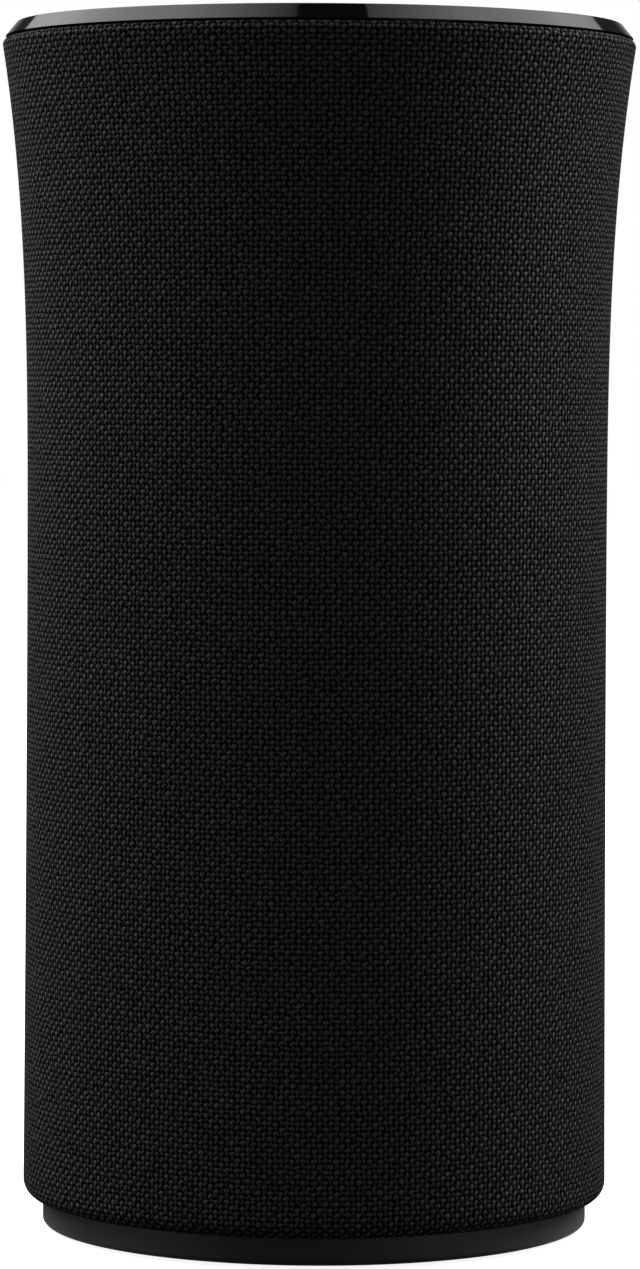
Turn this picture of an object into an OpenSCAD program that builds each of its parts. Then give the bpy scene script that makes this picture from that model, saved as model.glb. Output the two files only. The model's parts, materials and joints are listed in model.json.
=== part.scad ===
// Table-top smart speaker: a flared fabric-covered cylinder with a glossy trim ring and touch
// panel on top, a matte base ring, an upward-firing woofer and tweeter under acoustic lenses,
// and a connector bay underneath. Millimetres, +Z up, +Y towards the back, where the cable
// leaves. The origin is the centre of the footprint, on the surface that it stands on.

/* [Body] */
// Overall height, from the foot pad to the top edge of the trim ring
body_h = 223.2; // [210:0.2:240]
// Diameter at the widest place, the upper edge of the fabric
top_d = 117; // [114:0.5:121]
// Diameter at the waist
waist_d = 107.6; // [106.8:0.2:110]
// Height of the waist
waist_z = 125; // [110:5:150]
// Diameter of the fabric at its lower edge
bottom_d = 108.8; // [107:0.2:111]
// How sharply the flare gathers towards the top edge
flare_power = 3.1; // [2:0.1:4]
// How the lower half widens towards the base
sag_power = 1.4; // [1:0.1:2]

/* [Fabric and grille shell] */
// Thickness of the fabric with its glue
fabric_t = 0.9; // [0.5:0.1:1.2]
// Wall of the grille shell
shell_t = 1.8; // [1.4:0.1:2]
// Outer radius of the lower edge
bottom_round = 3; // [2:0.1:3.2]
// Outer radius of the upper edge
top_round = 1.3; // [1.3:0.1:2]
// How far the fabric is turned down inside the upper edge
turn_h = 4; // [2:0.5:6]
// Windows round each sound outlet
window_count = 24; // [12:2:30]
// Width of the rib between two windows
rib_w = 3.4; // [2.5:0.1:5]

/* [Trim ring and touch panel] */
// How far the trim ring's lower edge stands in from the widest place
trim_inset = 0.5; // [0.2:0.1:1]
// How far the chamfer leans in
trim_lean = 2; // [1:0.1:3]
// Height of the chamfered band
trim_h = 2.6; // [2:0.1:3.4]
// Radius of the round above the chamfer
trim_round = 0.3; // [0.2:0.05:0.5]
// Width of the trim ring's top, from the chamfer to the light ring
trim_top_w = 4.1; // [3.6:0.1:4.6]
// Wall of the trim ring's skirt
skirt_t = 2; // [1.6:0.1:2.2]
// Depth of the skirt under the band
skirt_h = 6; // [5:0.1:8]
// Gap between the fabric and the trim ring
seam_gap = 0.3; // [0.2:0.05:0.6]
// Width of the light ring
light_w = 1.3; // [0.8:0.1:2]
// Thickness of the touch panel
panel_t = 1.6; // [1.2:0.1:2]
// Depth of the flat centre below the trim ring's top
dish_depth = 1.8; // [1.2:0.1:2.2]
// Width of the sloping rim round the flat centre
dish_rim_w = 14.2; // [11:0.1:18]
// Depth of the inlaid marks
mark_t = 0.2; // [0.1:0.05:0.4]
// Diameter of the circle of marks
mark_pcd = 44; // [36:1:50]
// Width of the bare ground between the thin ring of the marks and the sloping rim
mark_ring_inset = 4; // [2:0.5:6]

/* [Touch board] */
// Thickness of the touch board
touch_board_t = 1.2; // [0.8:0.1:1.4]
// LEDs under the light ring
led_count = 16; // [8:2:24]
// Microphones
mic_count = 4; // [2:1:6]
// Distance of the microphones from the touch panel's edge
mic_inset = 7.2; // [6.4:0.1:8]

/* [Top chassis] */
// Thickness of the top chassis disc
chassis_t = 2.5; // [2:0.1:3.5]
// Height of the bosses between the chassis and the trim ring
trim_boss_h = 5.5; // [4:0.1:8]
// Diameter of a boss that a screw bites into
boss_d = 7; // [6.4:0.1:7.4]

/* [Tweeter] */
// Height of the sound outlet over the tweeter
tweeter_outlet_h = 19; // [15:0.5:24]
// Diameter of the tweeter faceplate
tweeter_d = 52; // [46:1:58]
// Thickness of the tweeter faceplate
faceplate_t = 2.5; // [2:0.1:3]
// Diameter of the dome's voice coil
dome_d = 24.6; // [20:0.2:27]
// Height of the dome
dome_h = 4.5; // [3:0.1:5.5]
// Depth of the tweeter's motor
tweeter_motor_h = 13; // [11:0.5:18]
// Travel of the dome each way
dome_travel = 0.3; // [0.1:0.05:0.5]

/* [Acoustic lenses] */
// Thickness of the lens disc
lens_t = 3; // [2.5:0.1:4]
// How far the woofer's lens cone stands in from the woofer's flange
lens_inset = 2.5; // [0.5:0.5:8]
// Height of the woofer's lens cone
woofer_lens_h = 17; // [12:0.5:18]
// Diameter of the tweeter's lens cone
tweeter_lens_d = 54; // [40:1:60]
// Height of the tweeter's lens cone
tweeter_lens_h = 9; // [6:0.5:10]
// Diameter of a lens post
post_d = 6.4; // [6.2:0.1:7]

/* [Woofer] */
// Height of the sound outlet over the baffle
woofer_outlet_h = 27; // [25:0.5:32]
// Distance from the cabinet's side to the woofer's mounting flange
woofer_inset = 8.6; // [8:0.1:9]
// Thickness of the mounting flange
flange_t = 2.4; // [2:0.1:3]
// Depth of the basket under the flange
basket_depth = 22; // [20:0.5:28]
// Width of the rim round the cone, with its surround and its screws
cone_rim_w = 10.5; // [9.6:0.1:12.5]
// Thickness of the cone
cone_t = 0.6; // [0.4:0.1:1]
// Diameter of the voice coil's former, inside
coil_d = 19.3; // [17:0.1:21]
// Wall of the former
former_t = 0.2; // [0.1:0.05:0.3]
// Thickness of the winding
winding_t = 0.5; // [0.3:0.05:0.6]
// Clearance each side of the coil in the magnet gap
coil_gap = 0.45; // [0.35:0.05:0.6]
// Thickness of the front and back plates
plate_iron_t = 4; // [3:0.1:5]
// Thickness of the magnet
magnet_t = 10; // [8:0.5:14]
// Diameter of the magnet
magnet_d = 58; // [50:1:64]
// Travel of the cone each way
cone_travel = 3; // [1:0.5:3.5]

/* [Cabinet] */
// Wall of the cabinet
cabinet_t = 2.4; // [2:0.1:3]
// Thickness of the baffle
baffle_t = 3; // [2.5:0.1:4]
// Height of the wadding
wadding_h = 34; // [10:1:44]
// Gap between the cabinet and the grille shell, for leads and antennas
lead_gap = 3; // [2.6:0.1:3.4]
// Diameter of a cabinet leg
leg_d = 7.5; // [7:0.1:8]

/* [Electronics] */
// Distance from the cabinet's side to the main board's edge
board_inset = 8.6; // [8:0.1:10]
// Grid on which the main board's parts are laid out
grid = 1; // [0.9:0.02:1.02]
// Thickness of a printed board
board_t = 1.6; // [1:0.1:2]
// Height of the bay over the main board
parts_h = 12.4; // [12.2:0.1:16]
// Diameter of a board capacitor
capacitor_d = 10; // [6:0.5:11]
// Height of a board capacitor
capacitor_h = 11.5; // [8:0.5:12]
// Fins on the heat sink
fin_count = 7; // [4:1:9]
// Height of the heat sink
fin_h = 9; // [5:0.5:10]
// Height of an antenna
antenna_h = 36; // [24:1:60]
// Height of the antennas above the cabinet's floor
antenna_rise = 25; // [10:1:30]
// Diameter of the drive units' leads
lead_d = 1.6; // [1.2:0.1:1.8]
// Diameter of the antenna leads
coax_d = 1.2; // [0.9:0.1:1.4]

/* [Base] */
// How far the base ring stands in from the fabric
base_inset = 3.7; // [3.5:0.1:4.1]
// Wall of the base ring
base_wall = 2.4; // [2:0.1:2.8]
// Height of the base ring that shows under the fabric
base_show = 5.1; // [4.8:0.1:8]
// Radius of the base ring's lower edge
base_round = 0.9; // [0.4:0.1:1.4]
// Thickness of the base plate
plate_t = 3; // [2.8:0.1:4]
// How far the foot pad stands proud of the base ring
foot_proud = 0.6; // [0.4:0.1:1.2]
// Thickness of the foot pad
foot_t = 1.8; // [1.6:0.1:2.2]
// Width of the foot pad
foot_w = 6; // [4:0.5:6.5]
// Gap between the foot pad and the heads of the base screws
foot_gap = 0.95; // [0.8:0.05:3]

/* [Connector bay] */
// Width of the bay
bay_w = 28; // [26:0.5:30]
// Length of the bay
bay_l = 24; // [22:0.5:26]
// Depth of the bay
bay_h = 11.2; // [10:0.1:14]
// Distance from the centre to the bay
bay_y = 4; // [3:0.5:5]
// Wall of the bay
bay_wall = 1.6; // [1.2:0.1:2]
// Width of the cable channel
cable_w = 8; // [6:0.5:10]
// Height of the cable channel
cable_h = 4.4; // [4:0.1:4.6]
// Height of the power jack's body
jack_h = 11; // [10:0.5:14]
// Diameter of the power jack's mouth
jack_bore_d = 6; // [5.6:0.1:6.6]
// Diameter of the power jack's pin
jack_pin_d = 2; // [1.6:0.1:2.5]

/* [Buttons] */
// Diameter of a button
button_d = 8; // [6:0.5:9]
// Distance between the two buttons
button_spacing = 26; // [22:1:34]
// Distance of the buttons in front of the centre
button_y = 18; // [14:0.5:21]
// How far a button's face is set back from the base plate
button_recess = 0.4; // [0.2:0.1:1]
// Travel of a button
button_travel = 0.5; // [0.3:0.1:0.8]
// Clearance round a button
button_gap = 0.3; // [0.2:0.05:0.5]

/* [Screws] */
// Diameter of a screw's shank
screw_d = 3; // [2.5:0.1:3.2]
// Diameter of a screw's head
head_d = 5.6; // [5:0.1:6]
// Height of a screw's head
head_h = 1.7; // [1.4:0.1:1.8]
// Depth that a screw bites
bite = 6; // [5:0.5:6.5]
// Diameter of the woofer's mounting screws
woofer_screw_d = 2.4; // [2:0.1:2.6]
// Diameter of the tweeter's mounting screws
tweeter_screw_d = 2; // [1.6:0.1:2.2]

/* [Hidden] */
$fn = 96;
fit = 0.1;          // clearance between two pieces that seat on each other
screw_fit = 0.05;   // clearance round a screw's shank
eps = 0.01;         // how far a cut runs past the face that it opens
side_steps = 28;    // steps of the body's side outline
arc_steps = 6;      // steps of a quarter round

// Levels, from the floor up
ring_z = foot_proud;
base_plate_z = ring_z + 0.2;
ledge_z = base_plate_z + plate_t + fit;
ledge_t = 1.6;
leg_z = ledge_z + ledge_t + fit;
fabric_z = ring_z + base_show;
shell_z = fabric_z + fabric_t;
base_top_z = shell_z - fit;
bay_top_z = base_plate_z + bay_h;
board_z = bay_top_z + jack_h;
board_top_z = board_z + board_t;
cabinet_z = board_top_z + parts_h;

// Levels, from the top down
trim_z = body_h - trim_h;
fabric_top_z = trim_z - seam_gap;
widest_z = fabric_top_z - top_round;
skirt_z = trim_z - skirt_h;
lip_t = 1.8;
touch_board_z = skirt_z + lip_t + fit;
touch_top_z = touch_board_z + touch_board_t;
boss_z = skirt_z - trim_boss_h;
chassis_z = boss_z - fit - chassis_t;
faceplate_z = chassis_z - tweeter_outlet_h - faceplate_t;
lens_top_z = faceplate_z - fit - tweeter_motor_h;
lens_z = lens_top_z - lens_t;
baffle_top_z = lens_z - woofer_outlet_h;
baffle_z = baffle_top_z - baffle_t;
cabinet_top_z = baffle_z - 1;
gasket_t = 0.8;
flange_z = baffle_top_z + gasket_t + fit;

// Radii
shell_in = min(waist_d, bottom_d, top_d) / 2 - fabric_t - shell_t;
cabinet_r = shell_in - lead_gap;
woofer_r = cabinet_r - woofer_inset;
board_r = cabinet_r - board_inset;
layout = grid * board_r / 39.5;    // the board's layout is drawn for a radius of 39.5
lens_r = cabinet_r + 0.4;
post_r = woofer_r + 0.4 + post_d / 2;
base_r = bottom_d / 2 - base_inset;
ledge_r = board_r + 0.9;
leg_r = board_r + 0.5 + leg_d / 2;
foot_r = leg_r - head_d / 2 - foot_gap;
plate_r = base_r - base_wall - 0.2;
shell_lip_r = base_r - base_wall + 0.3;
trim_r = top_d / 2 - trim_inset;
light_r = trim_r - trim_lean - trim_round - trim_top_w;
panel_r = light_r - light_w - fit;
dish_r = panel_r - dish_rim_w;
mic_r = panel_r - mic_inset;
skirt_in = light_r + fit;
skirt_r = skirt_in + skirt_t;
chassis_wall = 2.4;
chassis_r = body_r(chassis_z) - fabric_t - shell_t - 0.4;
trim_boss_r = min(chassis_r - chassis_wall - 3 * fit, skirt_r) - boss_d / 2;
lip_in = trim_boss_r - boss_d / 2 - 2 * fit;

// The woofer's motor, from the flange down
basket_z = flange_z - basket_depth;
front_plate_z = basket_z - fit - plate_iron_t;
magnet_z = front_plate_z - fit - magnet_t;
yoke_z = magnet_z - fit - plate_iron_t;
pole_r = coil_d / 2 - coil_gap;
former_r = coil_d / 2 + former_t;
winding_r = former_r + winding_t;
plate_hole_r = winding_r + coil_gap;
cone_neck_z = basket_z + 7;
cone_edge_z = flange_z + flange_t - 0.6;
spider_z = basket_z + 3.2;

// ---------------------------------------------------------------- the body's outline

// Outer radius of the fabric at height z
function body_r(z) =
    z > waist_z
    ? waist_d / 2 + (top_d - waist_d) / 2 * pow((z - waist_z) / (widest_z - waist_z), flare_power)
    : waist_d / 2 + (bottom_d - waist_d) / 2 * pow((waist_z - z) / waist_z, sag_power);

round_z = fabric_z + bottom_round;
round_r = body_r(round_z) - bottom_round;

// The outline set back by d, from the lower edge's inner end up to the upper edge's inner end
function side_points(d) = concat(
    [for (i = [0 : arc_steps])
        let (a = -90 + 90 * i / arc_steps)
        [round_r + (bottom_round - d) * cos(a), round_z + (bottom_round - d) * sin(a)]],
    [for (i = [1 : side_steps])
        let (z = round_z + (widest_z - round_z) * i / side_steps)
        [body_r(z) - d, z]],
    [for (i = [1 : arc_steps])
        let (a = 90 * i / arc_steps, r = top_round - d)
        [top_d / 2 - top_round + r * cos(a), widest_z + r * sin(a)]]
);

function reversed(list) = [for (i = [len(list) - 1 : -1 : 0]) list[i]];

// ---------------------------------------------------------------- shapes that repeat

// A ring with a rectangular section
module ring(r_out, r_in, z, h) {
    translate([0, 0, z]) difference() {
        cylinder(r = r_out, h = h);
        translate([0, 0, -eps]) cylinder(r = r_in, h = h + 2 * eps);
    }
}

// Its children, count times round the Z axis at radius r
module around(count, r, turn = 0) {
    for (i = [0 : count - 1]) rotate([0, 0, turn + 360 * i / count]) translate([r, 0, 0]) children();
}

// A block centred on X and Y, standing on z
module block(size, at) {
    translate([at[0] - size[0] / 2, at[1] - size[1] / 2, at[2]]) cube(size);
}

// A pan-head screw that points up, with the underside of its head at z = 0
module screw(length) {
    translate([0, 0, -head_h]) difference() {
        cylinder(d1 = head_d - 0.8, d2 = head_d, h = head_h);
        for (a = [0, 90]) rotate([0, 0, a]) block([head_d * 0.5, 0.7, 1], [0, 0, -eps]);
    }
    cylinder(d = screw_d, h = length);
}

// A small screw that points down, with the underside of its head at z = 0
module small_screw(d, length) {
    cylinder(r1 = small_head_r(d), r2 = small_head_r(d) - 0.4, h = 0.55 * d);
    translate([0, 0, -length]) cylinder(d = d, h = length + eps);
}

function small_head_r(d) = 0.95 * d;

// The hole that such a screw passes through or bites into
module screw_hole(z, h) {
    translate([0, 0, z - eps]) cylinder(r = screw_d / 2 + screw_fit, h = h + 2 * eps);
}

// A deflector that flares from its tip, at z = 0, to radius r at height h
module lens_cone(r, h) {
    steps = 14;
    rotate_extrude() polygon(concat(
        [[0, h]],
        [for (i = [0 : steps]) let (x = r * i / steps) [x, h * (1 - pow(1 - x / r, 2))]]
    ));
}

// A smooth route through chosen points, with a few steps between each two
function route(points, steps) = concat(
    [for (i = [0 : len(points) - 2], s = [0 : steps - 1])
        let (
            p0 = points[max(i - 1, 0)], p1 = points[i],
            p2 = points[i + 1], p3 = points[min(i + 2, len(points) - 1)], t = s / steps
        )
        0.5 * (2 * p1 + (p2 - p0) * t + (2 * p0 - 5 * p1 + 4 * p2 - p3) * t * t
               + (3 * p1 - p0 - 3 * p2 + p3) * t * t * t)],
    [points[len(points) - 1]]
);

function unit(v) = v / norm(v);

// A round lead of diameter d along a line of points
module lead(points, d) {
    sides = 8;
    line = route(points, 4);
    last = len(line) - 1;
    rings = [for (i = [0 : last])
        let (
            along = unit(line[min(i + 1, last)] - line[max(i - 1, 0)]),
            u = unit(cross(along, abs(along[2]) > 0.9 ? [1, 0, 0] : [0, 0, 1])),
            v = cross(along, u)
        )
        [for (k = [0 : sides - 1]) line[i] + d / 2 * (u * cos(360 * k / sides) + v * sin(360 * k / sides))]];
    polyhedron(
        points = [for (r = rings, p = r) p],
        faces = concat(
            [[for (k = [0 : sides - 1]) k]],
            [for (i = [0 : last - 1], k = [0 : sides - 1])
                let (a = i * sides + k, b = i * sides + (k + 1) % sides)
                [a, a + sides, b + sides, b]],
            [[for (k = [sides - 1 : -1 : 0]) last * sides + k]]
        )
    );
}

// ---------------------------------------------------------------- fabric and grille shell

module fabric_sleeve() {
    outer = side_points(0);
    inner = side_points(fabric_t);
    edge_r = base_r + 0.35;                          // where the turned-in lower edge ends
    hem_z = fabric_top_z - turn_h;
    set_in = fabric_t + shell_t + fit;
    top_hem_r = top_d / 2 - set_in;
    low_hem_r = body_r(hem_z) - set_in;
    color("#1c1c1d") rotate_extrude() polygon(concat(
        [[edge_r, fabric_z]],
        outer,
        [[top_hem_r - fabric_t, fabric_top_z], [low_hem_r - fabric_t, hem_z], [low_hem_r, hem_z],
         [top_hem_r, fabric_top_z - fabric_t]],
        reversed(inner),
        [[edge_r, shell_z]]
    ));
}

// Windows in a band of the shell, from z to z + h
module shell_windows(z, h) {
    width = 2 * PI * shell_in / window_count - rib_w;
    around(window_count, body_r(z), 180 / window_count)
        translate([0, 0, z + h / 2]) cube([20, width, h], center = true);
}

module grille_shell() {
    set_back = fabric_t + screw_fit;
    outer = side_points(set_back);
    inner = [for (i = [0 : side_steps])
        let (z = shell_z + shell_t + (fabric_top_z - fabric_t - shell_z - shell_t - fit) * i / side_steps)
        [min(body_r(z), top_d / 2) - fabric_t - shell_t, z]];
    window_margin = 2;
    color("#26272a") difference() {
        rotate_extrude() polygon(concat(
            [[shell_lip_r, shell_z + screw_fit]],
            outer,
            reversed(inner),
            [[shell_lip_r, shell_z + shell_t]]
        ));
        shell_windows(baffle_top_z + window_margin, woofer_outlet_h - 2 * window_margin);
        shell_windows(faceplate_z + window_margin, tweeter_outlet_h);
    }
}

// ---------------------------------------------------------------- trim ring and touch panel

module trim_ring() {
    top_r = trim_r - trim_lean;
    boss_len = trim_boss_h + eps;
    color("#0b0b0c") difference() {
        union() {
            rotate_extrude() polygon(concat(
                [[skirt_r, trim_z], [trim_r, trim_z]],
                [for (i = [0 : arc_steps])
                    let (a = 40 + 50 * i / arc_steps)
                    [top_r - trim_round + trim_round * cos(a), body_h - trim_round + trim_round * sin(a)]],
                [[light_r + fit, body_h - 0.8], [skirt_in, skirt_z + lip_t], [lip_in, skirt_z + lip_t],
                 [lip_in, skirt_z], [skirt_r, skirt_z]]
            ));
            around(4, trim_boss_r, 45) translate([0, 0, boss_z]) cylinder(d = boss_d, h = boss_len);
        }
        around(4, trim_boss_r, 45) screw_hole(boss_z, bite);
    }
}

// Where the touch panel's top lies at its rim
panel_rim_z = body_h - 1;
panel_z = body_h - dish_depth;

module mark_plus(w, t) {
    square([w, t], center = true);
    square([t, w], center = true);
}

// Raised-dot home mark, play bars, plus, minus and a ring, as plain outlines
module marks_2d() {
    stroke = 0.7;
    size = 5;
    line_w = 0.5;
    difference() {
        circle(r = dish_r - mark_ring_inset);
        circle(r = dish_r - mark_ring_inset - line_w);
    }
    translate([mark_pcd / 2, 0]) mark_plus(size, stroke);
    translate([-mark_pcd / 2, 0]) square([size, stroke], center = true);
    polygon([[-3, -size / 2], [-3, size / 2], [1, 0]]);
    for (x = [2, 3.8]) translate([x, -size / 2]) square([stroke, size]);
    translate([0, mark_pcd / 2]) difference() {
        circle(d = size);
        circle(d = size - 2 * stroke);
    }
    translate([0, -mark_pcd / 2]) for (x = [-2, 0, 2]) translate([x, 0]) circle(d = stroke + 0.2, $fn = 24);
}

module touch_panel() {
    mic_hole_d = 1;
    color("#08080a") difference() {
        union() {
            rotate_extrude() polygon([
                [0, panel_z], [dish_r, panel_z],
                [panel_r - 0.3, panel_rim_z], [panel_r, panel_rim_z - 0.3],
                [panel_r, panel_rim_z - panel_t], [dish_r, panel_z - panel_t], [0, panel_z - panel_t]
            ]);
            ring(dish_r + 4, dish_r, touch_top_z + fit, panel_z - panel_t - touch_top_z + 0.2);
        }
        translate([0, 0, panel_z - mark_t]) linear_extrude(mark_t + eps) marks_2d();
        around(mic_count, mic_r, 45) translate([0, 0, panel_z - panel_t - 1])
            cylinder(d = mic_hole_d, h = 5);
    }
}

module touch_marks() {
    color("#8b8d90") translate([0, 0, panel_z - mark_t]) linear_extrude(mark_t) marks_2d();
}

module light_ring() {
    low_z = touch_top_z + led_h + 4 * screw_fit;
    color("#3a3d42") ring(light_r, light_r - light_w, low_z, panel_rim_z - low_z);
}

// ---------------------------------------------------------------- touch board

ribbon_w = 10;
ribbon_t = 0.3;
plug_w = 12;
ribbon_y = shell_in - 1.6;
plug_y = lip_in - 4;
plug_low_z = touch_board_z - 1.8 - screw_fit;

module touch_board() {
    color("#1f4a33") {
        translate([0, 0, touch_board_z]) cylinder(r = skirt_in - 0.3, h = touch_board_t);
        block([plug_w, 4, touch_board_z - screw_fit - plug_low_z], [0, plug_y, plug_low_z]);
    }
}

led_h = 0.7;

module status_leds() {
    color("#d9d2b0") around(led_count, light_r - light_w / 2, 0)
        block([1, 1.6, led_h], [0, 0, touch_top_z + screw_fit]);
}

module microphones() {
    color("#a9a9a4") around(mic_count, mic_r, 45)
        block([2.6, 3.4, 0.9], [0, 0, touch_top_z + screw_fit]);
}

// ---------------------------------------------------------------- top chassis and tweeter

module top_chassis() {
    post_len = chassis_z - lens_top_z - fit;
    color("#2b2c2f") difference() {
        union() {
            translate([0, 0, chassis_z]) cylinder(r = chassis_r, h = chassis_t);
            ring(chassis_r, chassis_r - chassis_wall, chassis_z, skirt_z - chassis_z - fit);
            around(4, post_r) translate([0, 0, chassis_z - post_len])
                cylinder(d = boss_d, h = post_len + eps);
        }
        around(4, trim_boss_r, 45) screw_hole(chassis_z, chassis_t);
        around(4, post_r) screw_hole(chassis_z - post_len, bite);
        block([ribbon_w + 2, ribbon_t + 1.4, skirt_z - chassis_z + 2],
            [0, ribbon_y + ribbon_t / 2, chassis_z - 1]);
    }
}

module trim_screws() {
    color("#5c5d60") around(4, trim_boss_r, 45) translate([0, 0, chassis_z - screw_fit])
        screw(chassis_t + bite - 0.5);
}

module chassis_screws() {
    color("#5c5d60") around(4, post_r) translate([0, 0, lens_z - screw_fit]) screw(lens_t + bite - 0.5);
}

module tweeter_lens() {
    flange_h = 2;
    flange_low_z = chassis_z - fit - flange_h;
    color("#303236") {
        translate([0, 0, flange_low_z]) cylinder(d = tweeter_lens_d, h = flange_h);
        translate([0, 0, flange_low_z - tweeter_lens_h])
            lens_cone(tweeter_lens_d / 2 - 2, tweeter_lens_h + eps);
    }
}

dome_r = dome_d / 2;
dome_former_t = 0.25;
dome_gap = 0.5;
dome_base_z = faceplate_z + dome_travel + 0.6;
dome_hole_r = dome_r + dome_former_t + 2.2;
motor_r = dome_r + dome_former_t + dome_gap + 3;
cup_r = tweeter_d / 2 - 0.5;
cup_boss_d = 5;
cup_boss_r = cup_r - cup_boss_d / 2;

module tweeter_faceplate() {
    mouth = 2;
    color("#1b1c1e") difference() {
        rotate_extrude() polygon([
            [dome_hole_r, faceplate_z], [tweeter_d / 2, faceplate_z],
            [tweeter_d / 2, faceplate_z + faceplate_t],
            [dome_hole_r + mouth, faceplate_z + faceplate_t], [dome_hole_r, faceplate_z + 1]
        ]);
        tweeter_screw_holes(faceplate_z, faceplate_t);
    }
}

module tweeter_screw_holes(z, h) {
    around(3, cup_boss_r, 30) translate([0, 0, z - eps])
        cylinder(r = tweeter_screw_d / 2 + screw_fit, h = h + 2 * eps);
}

module tweeter_screws() {
    color("#5c5d60") around(3, cup_boss_r, 30) translate([0, 0, faceplate_z + faceplate_t + screw_fit])
        small_screw(tweeter_screw_d, faceplate_t + bite - 0.5);
}

// A half circle of radius r round mid, over z = 0
function half_roll(mid, r) = [for (i = [0 : 12]) [mid - r * cos(15 * i), r * sin(15 * i)]];

// A soft ring in a half roll from the dome's edge to the faceplate
module tweeter_surround() {
    inner = dome_r + dome_former_t + screw_fit;
    outer = dome_hole_r - screw_fit;
    mid = (inner + outer) / 2;
    roll = (outer - inner) / 2;
    thin = 0.25;
    translate([0, 0, dome_base_z]) color("#141416") rotate_extrude() polygon(concat(
        half_roll(mid, roll),
        reversed(half_roll(mid, roll - thin))
    ));
}

// A thin spherical cap of radius r and height h, with its edge at z = 0
module dome_skin(r, h, thin) {
    ball = (r * r + h * h) / (2 * h);
    sweep = asin(r / ball);
    steps = 8;
    rotate_extrude() polygon(concat(
        [for (i = [0 : steps]) let (a = sweep * i / steps) [ball * sin(a), h - ball + ball * cos(a)]],
        [for (i = [steps : -1 : 0])
            let (a = sweep * i / steps) [(ball - thin) * sin(a), h - ball + (ball - thin) * cos(a)]]
    ));
}

dome_t = 0.3;
dome_former_h = 4;

module tweeter_dome() {
    color("#54565a") {
        translate([0, 0, dome_base_z]) dome_skin(dome_r + dome_former_t, dome_h, dome_t);
        ring(dome_r + dome_former_t, dome_r, dome_base_z - dome_former_h, dome_former_h);
    }
}

module tweeter_magnet() {
    groove_deep = 6;
    color("#6d6f73") difference() {
        translate([0, 0, lens_top_z + fit]) cylinder(r = motor_r, h = tweeter_motor_h - fit);
        ring(dome_r + dome_former_t + dome_gap, dome_r - dome_gap,
            faceplate_z - groove_deep, groove_deep + 1);
    }
}

// ---------------------------------------------------------------- lens and baffle

tweeter_lead_turn = 212;
tweeter_lead_h = 4;

module woofer_lens() {
    cup_t = 2.4;
    lead_hole_d = 3;
    color("#303236") difference() {
        union() {
            translate([0, 0, lens_z]) cylinder(r = lens_r, h = lens_t);
            translate([0, 0, lens_z - woofer_lens_h]) lens_cone(woofer_r - lens_inset, woofer_lens_h + eps);
            ring(cup_r, cup_r - cup_t, lens_top_z - eps, tweeter_motor_h + eps);
            around(3, cup_boss_r, 30) translate([0, 0, lens_top_z - eps])
                cylinder(d = cup_boss_d, h = tweeter_motor_h + eps);
            around(4, post_r, 45) translate([0, 0, baffle_top_z + fit])
                cylinder(d = post_d, h = woofer_outlet_h - fit + eps);
        }
        around(4, post_r, 45) screw_hole(baffle_top_z + fit, bite);
        around(4, post_r) screw_hole(lens_z, lens_t);
        tweeter_screw_holes(faceplate_z - bite - fit, bite + fit);
        rotate([0, 0, tweeter_lead_turn]) translate([cup_r - cup_t / 2, 0, lens_top_z + tweeter_lead_h])
            rotate([0, 90, 0]) cylinder(d = lead_hole_d, h = 2 * cup_t, center = true);
    }
}

module lens_screws() {
    color("#5c5d60") around(4, post_r, 45) translate([0, 0, baffle_z - screw_fit])
        screw(baffle_t + bite - 0.5);
}

woofer_hole_r = woofer_r - 5.4;
woofer_screw_r = woofer_r - 2.6;
baffle_lip_h = 3;
baffle_lip_r = cabinet_r - cabinet_t - 0.8;

module baffle() {
    color("#2b2c2f") difference() {
        union() {
            translate([0, 0, baffle_z]) cylinder(r = cabinet_r, h = baffle_t);
            difference() {
                ring(baffle_lip_r, baffle_lip_r - 1, baffle_z - baffle_lip_h, baffle_lip_h + eps);
                around(4, cabinet_boss_r, 22.5) translate([0, 0, baffle_z - 10])
                    cylinder(r = boss_d / 2 + fit, h = 10);
                around(4, post_r, 45) translate([0, 0, baffle_z - 10])
                    cylinder(r = head_d / 2 + fit, h = 10);
            }
        }
        translate([0, 0, baffle_z - 1]) cylinder(r = woofer_hole_r, h = baffle_t + 2);
        around(4, post_r, 45) screw_hole(baffle_z, baffle_t);
        around(4, woofer_screw_r) translate([0, 0, baffle_z - eps])
            cylinder(d = woofer_screw_d + 2 * screw_fit, h = baffle_t + 2 * eps);
        around(4, cabinet_boss_r, 22.5) screw_hole(baffle_z, baffle_t);
    }
}

// A rubber ring squeezed between the cabinet's rim and the baffle
module baffle_seal() {
    seal_in = max(cabinet_r - cabinet_t, post_r + head_d / 2) + fit;
    color("#101011") ring(cabinet_r - 0.3, seal_in, cabinet_top_z + screw_fit,
        baffle_z - cabinet_top_z - 2 * screw_fit);
}

module baffle_screws() {
    color("#5c5d60") around(4, cabinet_boss_r, 22.5) translate([0, 0, baffle_top_z + screw_fit])
        mirror([0, 0, 1]) screw(baffle_t + bite - 0.5);
}

// ---------------------------------------------------------------- woofer

module woofer_gasket() {
    color("#3b3b3d") difference() {
        ring(woofer_r, woofer_hole_r + 0.6, baffle_top_z + screw_fit, gasket_t);
        around(4, woofer_screw_r) translate([0, 0, baffle_top_z]) cylinder(d = woofer_screw_d + 0.6, h = 2);
    }
}

basket_neck_r = plate_hole_r + 2;
basket_floor_r = magnet_d / 2 - 4;

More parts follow.
